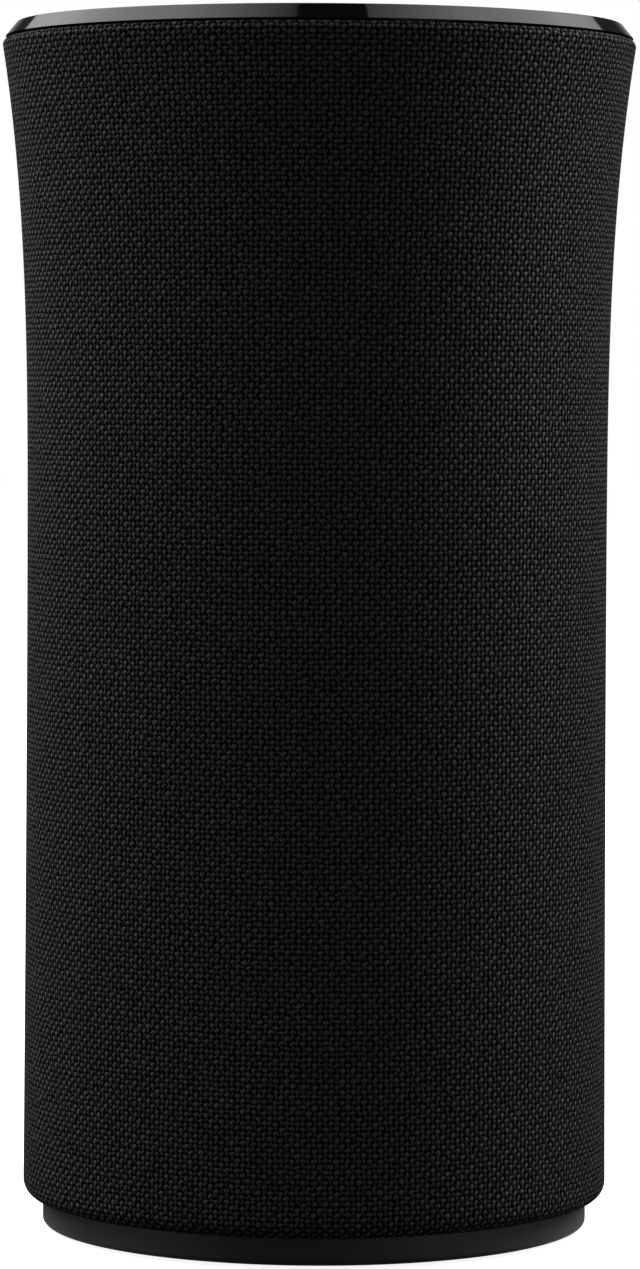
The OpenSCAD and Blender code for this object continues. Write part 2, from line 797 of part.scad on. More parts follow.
module woofer_basket() {
    wall = 1.8;
    floor_t = 1.6;
    top_r = woofer_hole_r - 0.4;
    color("#3e4043") difference() {
        union() {
            rotate_extrude() polygon([
                [basket_neck_r, basket_z], [basket_floor_r, basket_z], [top_r, flange_z],
                [woofer_r, flange_z], [woofer_r, flange_z + flange_t],
                [top_r - wall, flange_z + flange_t],
                [top_r - wall, flange_z], [basket_floor_r - wall, basket_z + floor_t],
                [basket_floor_r - wall, spider_z], [basket_floor_r - wall - 2, spider_z],
                [basket_floor_r - wall - 2, basket_z + floor_t], [basket_neck_r, basket_z + floor_t]
            ]);
        }
        around(6, basket_floor_r + 2, 30) translate([0, 0, (spider_z + flange_z) / 2 + 1])
            cube([14, 15, flange_z - spider_z - 6], center = true);
        around(4, woofer_screw_r) translate([0, 0, flange_z - eps])
            cylinder(d = woofer_screw_d + 2 * screw_fit, h = flange_t + 2 * eps);
    }
}

module woofer_screws() {
    length = flange_t + gasket_t + fit + baffle_t - 0.4;
    color("#5c5d60") around(4, woofer_screw_r) translate([0, 0, flange_z + flange_t + screw_fit])
        small_screw(woofer_screw_d, length);
}

cone_r = woofer_r - cone_rim_w;
surround_r = woofer_screw_r - small_head_r(woofer_screw_d) - 2 * fit;

// A rubber half roll between the cone's edge and the basket's flange
module woofer_surround() {
    thin = 0.5;
    land = 1.8;
    z = flange_z + flange_t + screw_fit;
    outer = surround_r - land;
    mid = (cone_r + 0.1 + outer) / 2;
    roll = (outer - cone_r - 0.1) / 2;
    color("#131314") rotate_extrude() polygon(concat(
        [[cone_r - 1.4, z + thin]],
        [for (i = [0 : 12]) [mid - roll * cos(15 * i), z + thin + (roll - thin) * sin(15 * i)]],
        [[surround_r, z + thin], [surround_r, z]],
        [for (i = [12 : -1 : 0]) [mid - (roll - thin) * cos(15 * i), z + (roll - thin) * sin(15 * i)]],
        [[cone_r - 1.4, z]]
    ));
}

module woofer_cone() {
    neck_r = former_r + fit;
    color("#202124") rotate_extrude() polygon([
        [neck_r, cone_neck_z], [neck_r + cone_t, cone_neck_z], [cone_r, cone_edge_z],
        [cone_r - 0.2, cone_edge_z + cone_t], [cone_r - 1, cone_edge_z + cone_t - 0.1],
        [neck_r, cone_neck_z + cone_t + 0.6]
    ]);
}

cap_r = former_r + 1.9;
cap_z = cone_neck_z + (cap_r - former_r) / (cone_r - former_r) * (cone_edge_z - cone_neck_z) + 1.3;

cap_h = 4;
cap_t = 0.5;

module dust_cap() {
    color("#161618") translate([0, 0, cap_z]) dome_skin(cap_r, cap_h, cap_t);
}

module voice_coil() {
    top_z = cone_neck_z + 1.6;
    former_z = magnet_z + 4;
    winding_h = plate_iron_t + 2 * cone_travel - 1;
    winding_z = front_plate_z + plate_iron_t / 2 - winding_h / 2;
    color("#a8692f") {
        ring(former_r, coil_d / 2, former_z, top_z - former_z);
        ring(winding_r, former_r - eps, winding_z, winding_h);
    }
}

// A corrugated disc between the former and the basket's ledge
module woofer_spider() {
    inner = former_r + fit;
    outer = basket_floor_r - 2.2;
    waves = 3;
    steps = 24;
    swing = 0.6;
    thin = 0.4;
    middle_z = spider_z + screw_fit;
    z = function (i) middle_z + swing * (1 - cos(360 * waves * i / steps));
    color("#b08a4a") rotate_extrude() polygon(concat(
        [for (i = [0 : steps]) [inner + (outer - inner) * i / steps, z(i)]],
        [for (i = [steps : -1 : 0]) [inner + (outer - inner) * i / steps, z(i) + thin]]
    ));
}

module woofer_front_plate() {
    color("#8a8c90") ring(basket_floor_r - 0.5, plate_hole_r, front_plate_z, plate_iron_t);
}

module woofer_magnet() {
    color("#3a3b3e") ring(magnet_d / 2, pole_r + 5, magnet_z, magnet_t);
}

module woofer_yoke() {
    vent_d = 5;
    color("#8a8c90") difference() {
        union() {
            translate([0, 0, yoke_z]) cylinder(r = basket_floor_r - 0.5, h = plate_iron_t);
            translate([0, 0, yoke_z]) cylinder(r = pole_r, h = front_plate_z + plate_iron_t + 0.5 - yoke_z);
        }
        translate([0, 0, yoke_z - 1]) cylinder(d = vent_d, h = basket_depth + magnet_t + 2 * plate_iron_t);
    }
}

// ---------------------------------------------------------------- cabinet

cabinet_boss_r = cabinet_r - cabinet_t - 3;
lead_hole = [26 * layout, -26 * layout];
standoff_r = 33 * layout;
standoff_turn = 20;

module cabinet() {
    boss_h = 14;
    color("#2f3033") difference() {
        union() {
            difference() {
                translate([0, 0, cabinet_z]) cylinder(r = cabinet_r, h = cabinet_top_z - cabinet_z);
                translate([0, 0, cabinet_z + cabinet_t])
                    cylinder(r = cabinet_r - cabinet_t, h = cabinet_top_z - cabinet_z);
            }
            around(4, cabinet_boss_r, 22.5) translate([0, 0, cabinet_top_z - boss_h])
                cylinder(d = boss_d, h = boss_h);
            around(4, leg_r, 45) translate([0, 0, leg_z]) cylinder(d = leg_d, h = cabinet_z - leg_z + eps);
            around(4, standoff_r, standoff_turn) translate([0, 0, board_top_z + fit])
                cylinder(d = boss_d, h = cabinet_z - board_top_z - fit + eps);
        }
        around(4, cabinet_boss_r, 22.5) screw_hole(cabinet_top_z - bite, bite);
        around(4, post_r, 45) translate([0, 0, baffle_z - head_h - 3 * fit])
            cylinder(r = head_d / 2 + fit, h = 10);
        around(4, leg_r, 45) screw_hole(leg_z, bite);
        around(4, standoff_r, standoff_turn) screw_hole(board_top_z + fit, bite);
        translate([lead_hole[0], lead_hole[1], cabinet_z - 1]) cylinder(d = lead_d + 2.4, h = cabinet_t + 2);
    }
}

module cabinet_wadding() {
    color("#d8d6d0") translate([0, 0, cabinet_z + cabinet_t + 0.3]) difference() {
        cylinder(r = cabinet_r - cabinet_t - 1, h = wadding_h);
        translate([lead_hole[0], lead_hole[1], -1]) cylinder(d = 4 * lead_d + 2.6, h = wadding_h + 2);
    }
}

// ---------------------------------------------------------------- electronics

button_x = button_spacing / 2;
jack_at = [-7, bay_y + bay_l / 2 - 2];
port_at = [8, bay_y + bay_l / 2 - 2];
jack_nose_d = jack_bore_d + 2;
jack_size = [jack_nose_d + 1, jack_nose_d + 1];
port_size = [8.6, 3.4];

module main_board() {
    color("#1f4a33") {
        difference() {
            translate([0, 0, board_z]) cylinder(r = board_r, h = board_t);
            around(4, standoff_r, standoff_turn) screw_hole(board_z, board_t);
        }
        block([plug_w, 4, 2], [0, board_r - 4.5, board_top_z + screw_fit]);
        for (x = [-plug_at[0], plug_at[0]]) block([7, 4, plug_h], [x, plug_at[1], board_top_z + screw_fit]);
    }
}

chip_t = 1.2;

module board_chips() {
    color("#141416") for (c = layout * [[-16, 16, 12], [-1, 22, 8], [-6, -12, 9], [17, -6, 7], [16, 12, 12]])
        block([c[2], c[2], chip_t], [c[0], c[1], board_top_z + screw_fit]);
}

module board_capacitors() {
    color("#2a2f45") for (x = [-26, -14]) translate([x * layout, 0, board_top_z + screw_fit])
        cylinder(d = capacitor_d, h = capacitor_h);
}

module board_inductors() {
    color("#4a4a4c") for (y = [-26, -17])
        block(layout * [7, 7, 4.5], [4 * layout, y * layout, board_top_z + screw_fit]);
}

module heat_sink() {
    size = layout * [18, 20];
    base = 2;
    fin = 1;
    pitch = (size[0] - fin) / (fin_count - 1);
    color("#9a9ca0") translate([16 * layout, 12 * layout, board_top_z + chip_t + 2 * screw_fit]) {
        block([size[0], size[1], base], [0, 0, 0]);
        for (i = [0 : fin_count - 1])
            block([fin, size[1], fin_h], [-size[0] / 2 + fin / 2 + i * pitch, 0, 0]);
    }
}

module_z = board_z - 2.4 - 2 * screw_fit;

module wireless_module() {
    at = layout * [-27, 6];
    color("#b9bbbe") {
        block([14 * layout, 18 * layout, 0.8], [at[0], at[1], board_z - 0.8 - screw_fit]);
        block([11 * layout, 14 * layout, 1.6], [at[0], at[1] + 1, module_z]);
    }
}

antenna_z = cabinet_z + antenna_rise;

module antennas() {
    color("#b87333") for (a = [150, 330]) rotate([0, 0, a]) translate([0, 0, antenna_z])
        rotate_extrude(angle = 20) translate([cabinet_r + screw_fit, 0]) square([0.4, antenna_h]);
}

module board_screws() {
    color("#5c5d60") around(4, standoff_r, standoff_turn) translate([0, 0, board_z - screw_fit])
        screw(board_t + bite - 0.5);
}

// A power jack whose mouth faces down into the bay, with its pin
module power_jack() {
    depth = 9;
    color("#17181a") difference() {
        union() {
            block([jack_size[0], jack_size[1], jack_h - bay_wall - 2 * fit],
                [jack_at[0], jack_at[1], bay_top_z + bay_wall + fit]);
            translate([jack_at[0], jack_at[1], bay_top_z]) cylinder(d = jack_nose_d, h = bay_wall + 1);
        }
        translate([jack_at[0], jack_at[1], bay_top_z - eps]) cylinder(d = jack_bore_d, h = depth);
    }
    color("#c9cbce") translate([jack_at[0], jack_at[1], bay_top_z + 1])
        cylinder(d = jack_pin_d, h = depth - 1);
}

// A small service connector whose mouth faces down into the bay
module service_port() {
    shell = 0.4;
    color("#b9bbbe") difference() {
        block([port_size[0], port_size[1], jack_h - fit], [port_at[0], port_at[1], bay_top_z]);
        block([port_size[0] - 2 * shell, port_size[1] - 2 * shell, 5],
            [port_at[0], port_at[1], bay_top_z - eps]);
    }
    color("#17181a") block([port_size[0] - 3, 0.7, 5.5], [port_at[0], port_at[1], bay_top_z + 0.6]);
}

switch_w = 6.2;
switch_h = 3.6;
switch_well = 2.2;
switch_z = board_z - switch_h - screw_fit;
plunger_d = 3.4;
plunger_show = button_travel + 0.3;
guide_h = 4;
flange_drop = base_plate_z + plate_t + guide_h;

module button_switches() {
    color("#17181a") for (x = [-button_x, button_x]) difference() {
        block([switch_w, switch_w, switch_h], [x, -button_y, switch_z]);
        translate([x, -button_y, switch_z - eps]) cylinder(d = plunger_d + 0.4, h = switch_well);
    }
}

module plunger() {
    color("#c04a3a") translate([0, -button_y, switch_z - plunger_show])
        cylinder(d = plunger_d, h = plunger_show + 1.2);
}

// A push button with a long stem: its face looks down, and its flange rests on the guide
module button() {
    face_z = base_plate_z + button_recess;
    flange_h = 1.2;
    flange_z = flange_drop + fit;
    stem_d = 4;
    stem_top_z = switch_z - plunger_show - fit;
    color("#202124") translate([0, -button_y, 0]) {
        translate([0, 0, face_z]) cylinder(d1 = button_d - 0.6, d2 = button_d, h = 0.3);
        translate([0, 0, face_z + 0.3]) cylinder(d = button_d, h = flange_z - face_z);
        translate([0, 0, flange_z]) cylinder(d = button_d + 2.4, h = flange_h);
        translate([0, 0, flange_z]) cylinder(d = stem_d, h = stem_top_z - flange_z);
    }
}

module setup_button() { translate([-button_x, 0, 0]) button(); }
module setup_plunger() { translate([-button_x, 0, 0]) plunger(); }
module pair_button() { translate([button_x, 0, 0]) button(); }
module pair_plunger() { translate([button_x, 0, 0]) plunger(); }

// ---------------------------------------------------------------- base

module base_plate() {
    bay_out_w = bay_w + 2 * bay_wall;
    bay_out_l = bay_l + 2 * bay_wall;
    bay_mid = bay_y + bay_l / 2;
    roof_t = 1.2;
    channel_len = plate_r - bay_y - bay_l;
    color("#1d1e20") difference() {
        union() {
            translate([0, 0, base_plate_z]) cylinder(r = plate_r, h = plate_t);
            block([bay_out_w, bay_out_l, bay_h + bay_wall], [0, bay_mid, base_plate_z]);
            intersection() {
                block([cable_w + 2 * roof_t, channel_len, cable_h + roof_t],
                    [0, bay_y + bay_l + channel_len / 2, base_plate_z]);
                translate([0, 0, base_plate_z]) cylinder(r = plate_r, h = 30);
            }
            for (x = [-button_x, button_x]) translate([x, -button_y, base_plate_z])
                cylinder(d = button_d + 3, h = flange_drop - base_plate_z);
        }
        block([bay_w, bay_l, bay_h + 1], [0, bay_mid, base_plate_z - 1]);
        block([cable_w, channel_len + 10, cable_h + 1],
            [0, bay_y + bay_l + channel_len / 2, base_plate_z - 1]);
        ring(foot_r + fit, foot_r - foot_w - fit, 0, foot_t + fit);
        around(4, leg_r, 45) {
            screw_hole(base_plate_z, plate_t);
            translate([0, 0, base_plate_z - eps]) cylinder(d = head_d + 0.6, h = head_h + 0.2);
        }
        for (x = [-button_x, button_x]) translate([x, -button_y, base_plate_z - 1])
            cylinder(d = button_d + 2 * button_gap, h = 20);
        translate([jack_at[0], jack_at[1], base_plate_z])
            cylinder(d = jack_nose_d + 4 * fit, h = bay_h + bay_wall + 1);
        block([port_size[0] + 4 * fit, port_size[1] + 4 * fit, bay_h + bay_wall + 1],
            [port_at[0], port_at[1], base_plate_z]);
    }
}

module base_ring() {
    ring_in = base_r - base_wall;
    color("#232426") difference() {
        rotate_extrude() polygon(concat(
            [[ring_in, ring_z]],
            [for (i = [0 : arc_steps])
                let (a = -90 + 90 * i / arc_steps)
                [base_r - base_round + base_round * cos(a), ring_z + base_round + base_round * sin(a)]],
            [[base_r, base_top_z], [ring_in, base_top_z], [ring_in, ledge_z + ledge_t],
             [ledge_r, ledge_z + ledge_t], [ledge_r, ledge_z], [ring_in, ledge_z]]
        ));
        block([cable_w, 20, cable_h + 1], [0, base_r, base_plate_z - 1]);
        block([cable_w + 3.2, base_r - base_wall, 30], [0, (base_r - base_wall) / 2, ledge_z - 1]);
        around(4, leg_r, 45) screw_hole(ledge_z, ledge_t);
    }
}

module base_screws() {
    color("#5c5d60") around(4, leg_r, 45) translate([0, 0, base_plate_z + head_h + 0.2 - screw_fit])
        screw(plate_t - head_h - 0.2 + ledge_t + 2 * fit + bite - 0.5);
}

// A rubber ring in the base plate's groove, open where the cable channel crosses it
module foot_pad() {
    color("#151516") difference() {
        ring(foot_r, foot_r - foot_w, 0, foot_t);
        block([cable_w, 40, 10], [0, foot_r, -1]);
    }
}

// ---------------------------------------------------------------- ribbon and leads

// A flat ribbon up the back, between the cabinet and the grille shell
module touch_ribbon() {
    low = board_top_z + 2 + 2 * screw_fit;
    high = skirt_z - 3;
    inner_y = board_r - 6;
    color("#cfcac0") rotate([90, 0, 90]) translate([0, 0, -ribbon_w / 2]) linear_extrude(ribbon_w) {
        translate([inner_y, low]) square([ribbon_y + ribbon_t - inner_y, ribbon_t]);
        translate([ribbon_y, low]) square([ribbon_t, high - low]);
        translate([plug_y, high - ribbon_t]) square([ribbon_y + ribbon_t - plug_y, ribbon_t]);
        translate([plug_y, high - ribbon_t]) square([ribbon_t, plug_low_z - screw_fit - high + ribbon_t]);
    }
}

function polar(r, a, z) = [r * cos(a), r * sin(a), z];

// Where the two power plugs stand on the main board, and how tall they are
plug_at = layout * [24, -22];
plug_h = 4;
lead_z = board_top_z + plug_h + 5 * fit;

// Leads through the cabinet's floor to the woofer's terminals
module woofer_leads() {
    hole = [lead_hole[0], lead_hole[1], cabinet_z];
    color("#7a2320") lead([
        [plug_at[0], plug_at[1], lead_z], [plug_at[0], plug_at[1], lead_z + 2],
        hole - [0, 0, 3], hole + [0, 0, 4], hole + [0, 0, wadding_h + 6],
        polar(cabinet_r - 10, -42, basket_z - 12),
        polar(cabinet_r - 13, -28, basket_z), polar(basket_floor_r + 5, -6, basket_z + 8)
    ], lead_d);
}

// Leads outside the cabinet to the tweeter's terminals
module tweeter_leads() {
    a = tweeter_lead_turn;
    out_r = (cabinet_r + shell_in) / 2;
    in_z = lens_top_z + tweeter_lead_h;
    color("#2c2c30") lead([
        [-plug_at[0], plug_at[1], lead_z], [-plug_at[0], plug_at[1], lead_z + 2],
        polar(cabinet_r - 5, a, lead_z + 4), polar(out_r, a, lead_z + 5), polar(out_r, a, cabinet_z + 12),
        polar(out_r, a, baffle_z), polar(out_r, a, lens_z - 8), polar(out_r, a, lens_top_z + 1),
        polar(cabinet_r - 4, a, in_z), polar(cabinet_r - 14, a, in_z), polar(motor_r + 3 * fit, a, in_z)
    ], lead_d);
}

// Coaxial leads from the wireless module to the antennas
module antenna_leads() {
    out_r = cabinet_r + 0.7 + coax_d / 2;
    low_z = module_z - 0.2 - coax_d / 2;
    starts = layout * [[-29, 10], [-24, 2]];
    middles = [
        [polar(cabinet_r - 14, 160, low_z)],
        [[0, -3 * layout, low_z - 1], [24 * layout, -8 * layout, low_z - 1]]
    ];
    color("#3a3a3c") for (side = [0, 1]) {
        a = 160 + 180 * side;
        lead(concat([[starts[side][0], starts[side][1], low_z]], middles[side], [
            polar(cabinet_r - 6, a, low_z), polar(out_r, a, board_top_z + 3), polar(out_r, a, cabinet_z + 6),
            polar(out_r, a, antenna_z - 4), polar(out_r, a, antenna_z + 6)
        ]), coax_d);
    }
}

// ---------------------------------------------------------------- nodes

fabric_sleeve();
grille_shell();
trim_ring();
touch_panel();
touch_marks();
light_ring();
touch_board();
status_leds();
microphones();
top_chassis();
trim_screws();
chassis_screws();
tweeter_lens();
tweeter_faceplate();
tweeter_screws();
tweeter_surround();
tweeter_dome();
tweeter_magnet();
woofer_lens();
lens_screws();
woofer_gasket();
woofer_basket();
woofer_screws();
woofer_surround();
woofer_cone();
dust_cap();
voice_coil();
woofer_spider();
woofer_front_plate();
woofer_magnet();
woofer_yoke();
baffle();
baffle_seal();
baffle_screws();
cabinet();
cabinet_wadding();
main_board();
board_chips();
board_capacitors();
board_inductors();
heat_sink();
wireless_module();
antennas();
board_screws();
power_jack();
service_port();
button_switches();
setup_button();
setup_plunger();
pair_button();
pair_plunger();
base_plate();
base_ring();
base_screws();
foot_pad();
touch_ribbon();
woofer_leads();
tweeter_leads();
antenna_leads();
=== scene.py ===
import json
import math

import bpy
from mathutils import Matrix, Vector


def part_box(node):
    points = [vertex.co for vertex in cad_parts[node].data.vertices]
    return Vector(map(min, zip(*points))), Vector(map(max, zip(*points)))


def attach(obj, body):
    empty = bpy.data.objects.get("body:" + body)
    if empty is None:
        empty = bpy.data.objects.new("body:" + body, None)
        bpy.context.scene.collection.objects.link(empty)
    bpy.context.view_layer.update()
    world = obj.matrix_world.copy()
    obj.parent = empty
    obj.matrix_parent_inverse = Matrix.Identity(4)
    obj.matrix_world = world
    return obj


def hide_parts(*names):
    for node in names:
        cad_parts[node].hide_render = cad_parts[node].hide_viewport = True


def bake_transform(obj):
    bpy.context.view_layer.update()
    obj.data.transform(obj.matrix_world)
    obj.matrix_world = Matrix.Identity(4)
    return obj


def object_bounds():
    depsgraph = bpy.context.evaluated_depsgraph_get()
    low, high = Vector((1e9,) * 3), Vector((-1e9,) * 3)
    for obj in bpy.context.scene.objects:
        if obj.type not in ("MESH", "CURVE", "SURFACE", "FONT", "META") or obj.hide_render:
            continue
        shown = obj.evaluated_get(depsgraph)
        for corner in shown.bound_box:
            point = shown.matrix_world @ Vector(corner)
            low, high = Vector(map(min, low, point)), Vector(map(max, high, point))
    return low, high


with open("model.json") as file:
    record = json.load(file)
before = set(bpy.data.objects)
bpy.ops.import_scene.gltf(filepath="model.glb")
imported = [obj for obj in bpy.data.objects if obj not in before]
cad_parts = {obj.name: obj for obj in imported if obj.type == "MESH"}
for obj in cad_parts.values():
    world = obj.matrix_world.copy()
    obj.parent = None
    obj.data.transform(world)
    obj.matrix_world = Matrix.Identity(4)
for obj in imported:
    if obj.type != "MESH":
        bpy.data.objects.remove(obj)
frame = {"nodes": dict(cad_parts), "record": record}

bl_info = {
    "name": "Smart speaker",
    "version": (1, 0, 0),
    "blender": (4, 5, 0),
    "location": "View3D > Sidebar > Speaker",
    "description": "Dresses the table-top smart speaker: cloth, rim, base, inner parts and stage",
    "category": "Object",
}

CAD_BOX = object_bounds()
CLOTH_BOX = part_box("fabric_sleeve")
FOOT_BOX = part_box("foot_pad")
SLOTS = {row["node"]: row["material_slot"] for row in frame["record"]["subparts"]}
MM = 0.001
BACK = math.pi / 2  # the turn from +X to +Y, where the cable leaves


# ---------------- colours and nodes

def colour(code):
    """A linear RGBA colour from an sRGB hex code such as 1c1c1d."""
    parts = [int(code[i:i + 2], 16) / 255 for i in (0, 2, 4)]
    return [p / 12.92 if p <= 0.04045 else ((p + 0.055) / 1.055) ** 2.4 for p in parts] + [1.0]


def shade(tint, factor):
    """The same colour, lighter or darker."""
    return [min(part * factor, 1.0) for part in tint[:3]] + [1.0]


def add(tree, kind, inputs=(), out=0, **settings):
    """Adds a node with its settings, sets or links its inputs, and returns one of its outputs."""
    made = tree.nodes.new(kind)
    for key, value in settings.items():
        setattr(made, key, value)
    for key, value in inputs.items() if isinstance(inputs, dict) else enumerate(inputs):
        several = isinstance(value, list) and hasattr(value[0], "node")
        for each in value if several else [value]:
            if hasattr(each, "node"):
                tree.links.new(each, made.inputs[key])
            else:
                made.inputs[key].default_value = each
    return made.outputs[out] if made.outputs else made


def calc(tree, operation, *values, **settings):
    """Adds a Math node."""
    return add(tree, "ShaderNodeMath", values, operation=operation, **settings)


def vector(tree, operation, *values, **settings):
    """Adds a Vector Math node."""
    return add(tree, "ShaderNodeVectorMath", values, operation=operation, **settings)


def scaled(tree, value, factor):
    """Adds a node that lengthens a vector."""
    return add(tree, "ShaderNodeVectorMath", {0: value, "Scale": factor}, operation="SCALE")


def remap(tree, value, source, target, **settings):
    """Adds a node that takes one range of values to another."""
    return add(tree, "ShaderNodeMapRange",
               {"Value": value, "From Min": source[0], "From Max": source[1],
                "To Min": target[0], "To Max": target[1]}, **settings)


def point(tree, x, y, z=0.0):
    """Adds a node that puts three numbers together."""
    return add(tree, "ShaderNodeCombineXYZ", (x, y, z))


def split(tree, value):
    """Adds a node that takes a vector apart, and returns its three numbers."""
    return add(tree, "ShaderNodeSeparateXYZ", [value]).node.outputs


def mix(tree, factor, first, second):
    """Adds a node that mixes two colours."""
    return add(tree, "ShaderNodeMix", {"Factor": factor, 6: first, 7: second}, out=2,
               data_type="RGBA")


def new_material(name):
    """A material with an empty tree, and that tree."""
    made = bpy.data.materials.new(name)
    made.use_nodes = True
    made.node_tree.nodes.clear()
    return made, made.node_tree


def surface(tree, **sockets):
    """Ends a material's tree in one Principled shader."""
    named = {key.replace("_", " "): value for key, value in sockets.items()}
    shader = add(tree, "ShaderNodeBsdfPrincipled", named)
    add(tree, "ShaderNodeOutputMaterial", {"Surface": shader})


# ---------------- materials

# Looks of the weave that its settings leave alone. Tones are shares of the dyed colour.
HALF = (0.5, 0.5, 0.5)
YARN_JOIN = 0.12  # how softly the heights of two crossing yarns run together
FILAMENTS = (6.0, 0.9)  # their noise across and along a yarn, per thread pitch
FILAMENT_HEIGHT = 0.35  # against the yarn's own height
SLUB_PACE = 0.08  # how fast slubs come along a yarn, per thread pitch
PAD_TONES = (0.72, 1.28)  # of the darkest and the palest crossing
SLUB_TONES = (0.85, 1.25)
YARN_SHADE_TONES = (1.13, 0.89)  # painted light and shade: tones of level and of upright yarns, as side light catches each
FLECK_TONES = (1.0, 1.5)  # of plain yarn and of its palest filaments
PINHOLE_SHADE_HEIGHTS = (0.62, 1.3)  # painted shade: where a pinhole ends, and where a pad's crown begins
# painted shade: the tone in a pinhole, and on a pad's crown
PINHOLE_SHADE_TONES = (0.0, 1.32)
TWILL_FACING = 0.4  # how much of the diagonal, partly painted light and shade, is left where the cloth faces the eye
SHINE = 0.32  # specular level of a crown
FUZZ = 0.09  # sheen of a crown's loose fibres


def woven_cloth():
    """Woven polyester speaker cloth, piece-dyed black: a plain weave of plump, slightly uneven
    yarns, so it shows small matt pads in rows with pinholes darkened by painted shade where four
    threads meet, a few paler filaments, and a soft glow where it turns away from the eye."""
    cloth = bpy.context.scene.speaker_cloth
    made, tree = new_material("Woven polyester cloth, black")
    uv = add(tree, "ShaderNodeUVMap", uv_map="UVMap")
    warp_pitch = math.tau * cloth.waist_radius / cloth.warp_count
    threads = add(tree, "ShaderNodeMapping",
                  {"Vector": uv, "Scale": (1 / warp_pitch, 1 / cloth.weft_pitch, 1)})
    # yarns wander by a part of their pitch, over a stretch of a few threads
    wander = add(tree, "ShaderNodeTexNoise", {"Vector": threads, "Scale": 0.5, "Detail": 2.0},
                 out="Color", noise_dimensions="2D")
    wander = scaled(tree, vector(tree, "SUBTRACT", wander, HALF), cloth.wander)
    laid = vector(tree, "ADD", threads, wander)
    across, along, _ = split(tree, laid)
    crossing = vector(tree, "FLOOR", vector(tree, "ADD", laid, HALF))
    warp, weft, _ = split(tree, crossing)
    # the yarns' twist leans each pad towards the same diagonal, and no pad lies quite straight
    dice = add(tree, "ShaderNodeTexWhiteNoise", {"Vector": crossing}, out="Color",
               noise_dimensions="2D")
    stray = scaled(tree, vector(tree, "SUBTRACT", dice, HALF), cloth.stray)
    strayed = vector(tree, "ADD", laid, stray)
    x, y, _ = split(tree, vector(tree, "SUBTRACT", laid, crossing))
    leaning = vector(tree, "MULTIPLY_ADD", point(tree, y, x), (cloth.lean,) * 3, strayed)
    lean_across, lean_along, _ = split(tree, leaning)

    heights = []
    for run, middle, yarn, fill, side in (
            (along, lean_across, warp, cloth.warp_fill, 1.0),
            (across, lean_along, weft, cloth.weft_fill, -1.0)):
        # this yarn's own number decides whether it starts over or under
        turn = calc(tree, "MULTIPLY", yarn, math.pi)
        turn = calc(tree, "SIGN", calc(tree, "COSINE", turn))
        wave = calc(tree, "COSINE", calc(tree, "MULTIPLY", run, math.pi))
        ride = calc(tree, "MULTIPLY", turn, wave)
        off = calc(tree, "PINGPONG", middle, 0.5)
        off = calc(tree, "MULTIPLY", off, 1 / fill)
        round_off = calc(tree, "MULTIPLY", off, off)
        top = calc(tree, "MULTIPLY_ADD", ride, 0.5 * side, 1.0)
        heights.append(calc(tree, "SUBTRACT", top, round_off))
    height = calc(tree, "SMOOTH_MAX", *heights, YARN_JOIN)
    over_warp = calc(tree, "GREATER_THAN", *heights)

    # filaments run along whichever yarn lies on top
    fibres = []
    for scale in (FILAMENTS, FILAMENTS[::-1]):
        drawn = add(tree, "ShaderNodeMapping", {"Vector": laid, "Scale": (*scale, 1.0)})
        fibres.append(add(tree, "ShaderNodeTexNoise",
                          {"Vector": drawn, "Scale": 1.0, "Detail": 2.0}, noise_dimensions="2D"))
    fibre = add(tree, "ShaderNodeMix", {0: over_warp, 2: fibres[1], 3: fibres[0]})
    relief = calc(tree, "MULTIPLY_ADD", fibre, FILAMENT_HEIGHT, height)

    # each crossing catches its own share of light, and a few stretches are slubs
    pad = remap(tree, dice.node.outputs["Value"], (0.0, 1.0), PAD_TONES)
    slub_line = point(tree, warp, calc(tree, "MULTIPLY", along, SLUB_PACE))
    slub = add(tree, "ShaderNodeTexNoise", {"Vector": slub_line, "Scale": 1.0, "Detail": 0.0},
               noise_dimensions="2D")
    slub = remap(tree, slub, (0.3, 0.75), SLUB_TONES)
    # painted shade: the colour falls to black in the pinholes and creases between yarns, and is
    # fullest on the pads' crowns
    pinhole_shade = remap(tree, height, PINHOLE_SHADE_HEIGHTS, PINHOLE_SHADE_TONES, interpolation_type="SMOOTHSTEP")
    # painted light and shade: the level yarns are painted a little paler than the upright ones, as
    # side light catches them
    yarn_shade = remap(tree, over_warp, (0.0, 1.0), YARN_SHADE_TONES)
    pad = calc(tree, "MULTIPLY", pad, yarn_shade)
    tone = calc(tree, "MULTIPLY", pad, slub)
    tone = calc(tree, "MULTIPLY", tone, pinhole_shade)
    fleck = remap(tree, fibre, (0.62, 0.8), FLECK_TONES)
    tone = calc(tree, "MULTIPLY", tone, fleck)
    # the twist's diagonal: pads that touch corner to corner read as one slanted line, the more
    # so where the cloth turns away; the line is partly the yarns' own lean and partly painted light
    # and shade, which grows where side light would rake the cloth
    twill = calc(tree, "MULTIPLY", calc(tree, "SUBTRACT", across, along), math.pi)
    twill = calc(tree, "COSINE", twill)
    away = add(tree, "ShaderNodeLayerWeight", {"Blend": 0.5}, out="Facing")
    away = remap(tree, away, (0.0, 0.5), (-TWILL_FACING * cloth.twill, -cloth.twill))
    twill = calc(tree, "MULTIPLY_ADD", twill, away, 1.0)
    tone = calc(tree, "MULTIPLY", tone, twill)
    # the painted shade of the pinholes dims the shine and the sheen too
    gleam = calc(tree, "MULTIPLY", calc(tree, "SQRT", twill), pinhole_shade)
    shine = calc(tree, "MULTIPLY", gleam, SHINE)
    dyed = scaled(tree, tuple(cloth.colour), tone)
    bump = add(tree, "ShaderNodeBump",
               {"Height": relief, "Strength": 1.0, "Distance": cloth.relief})
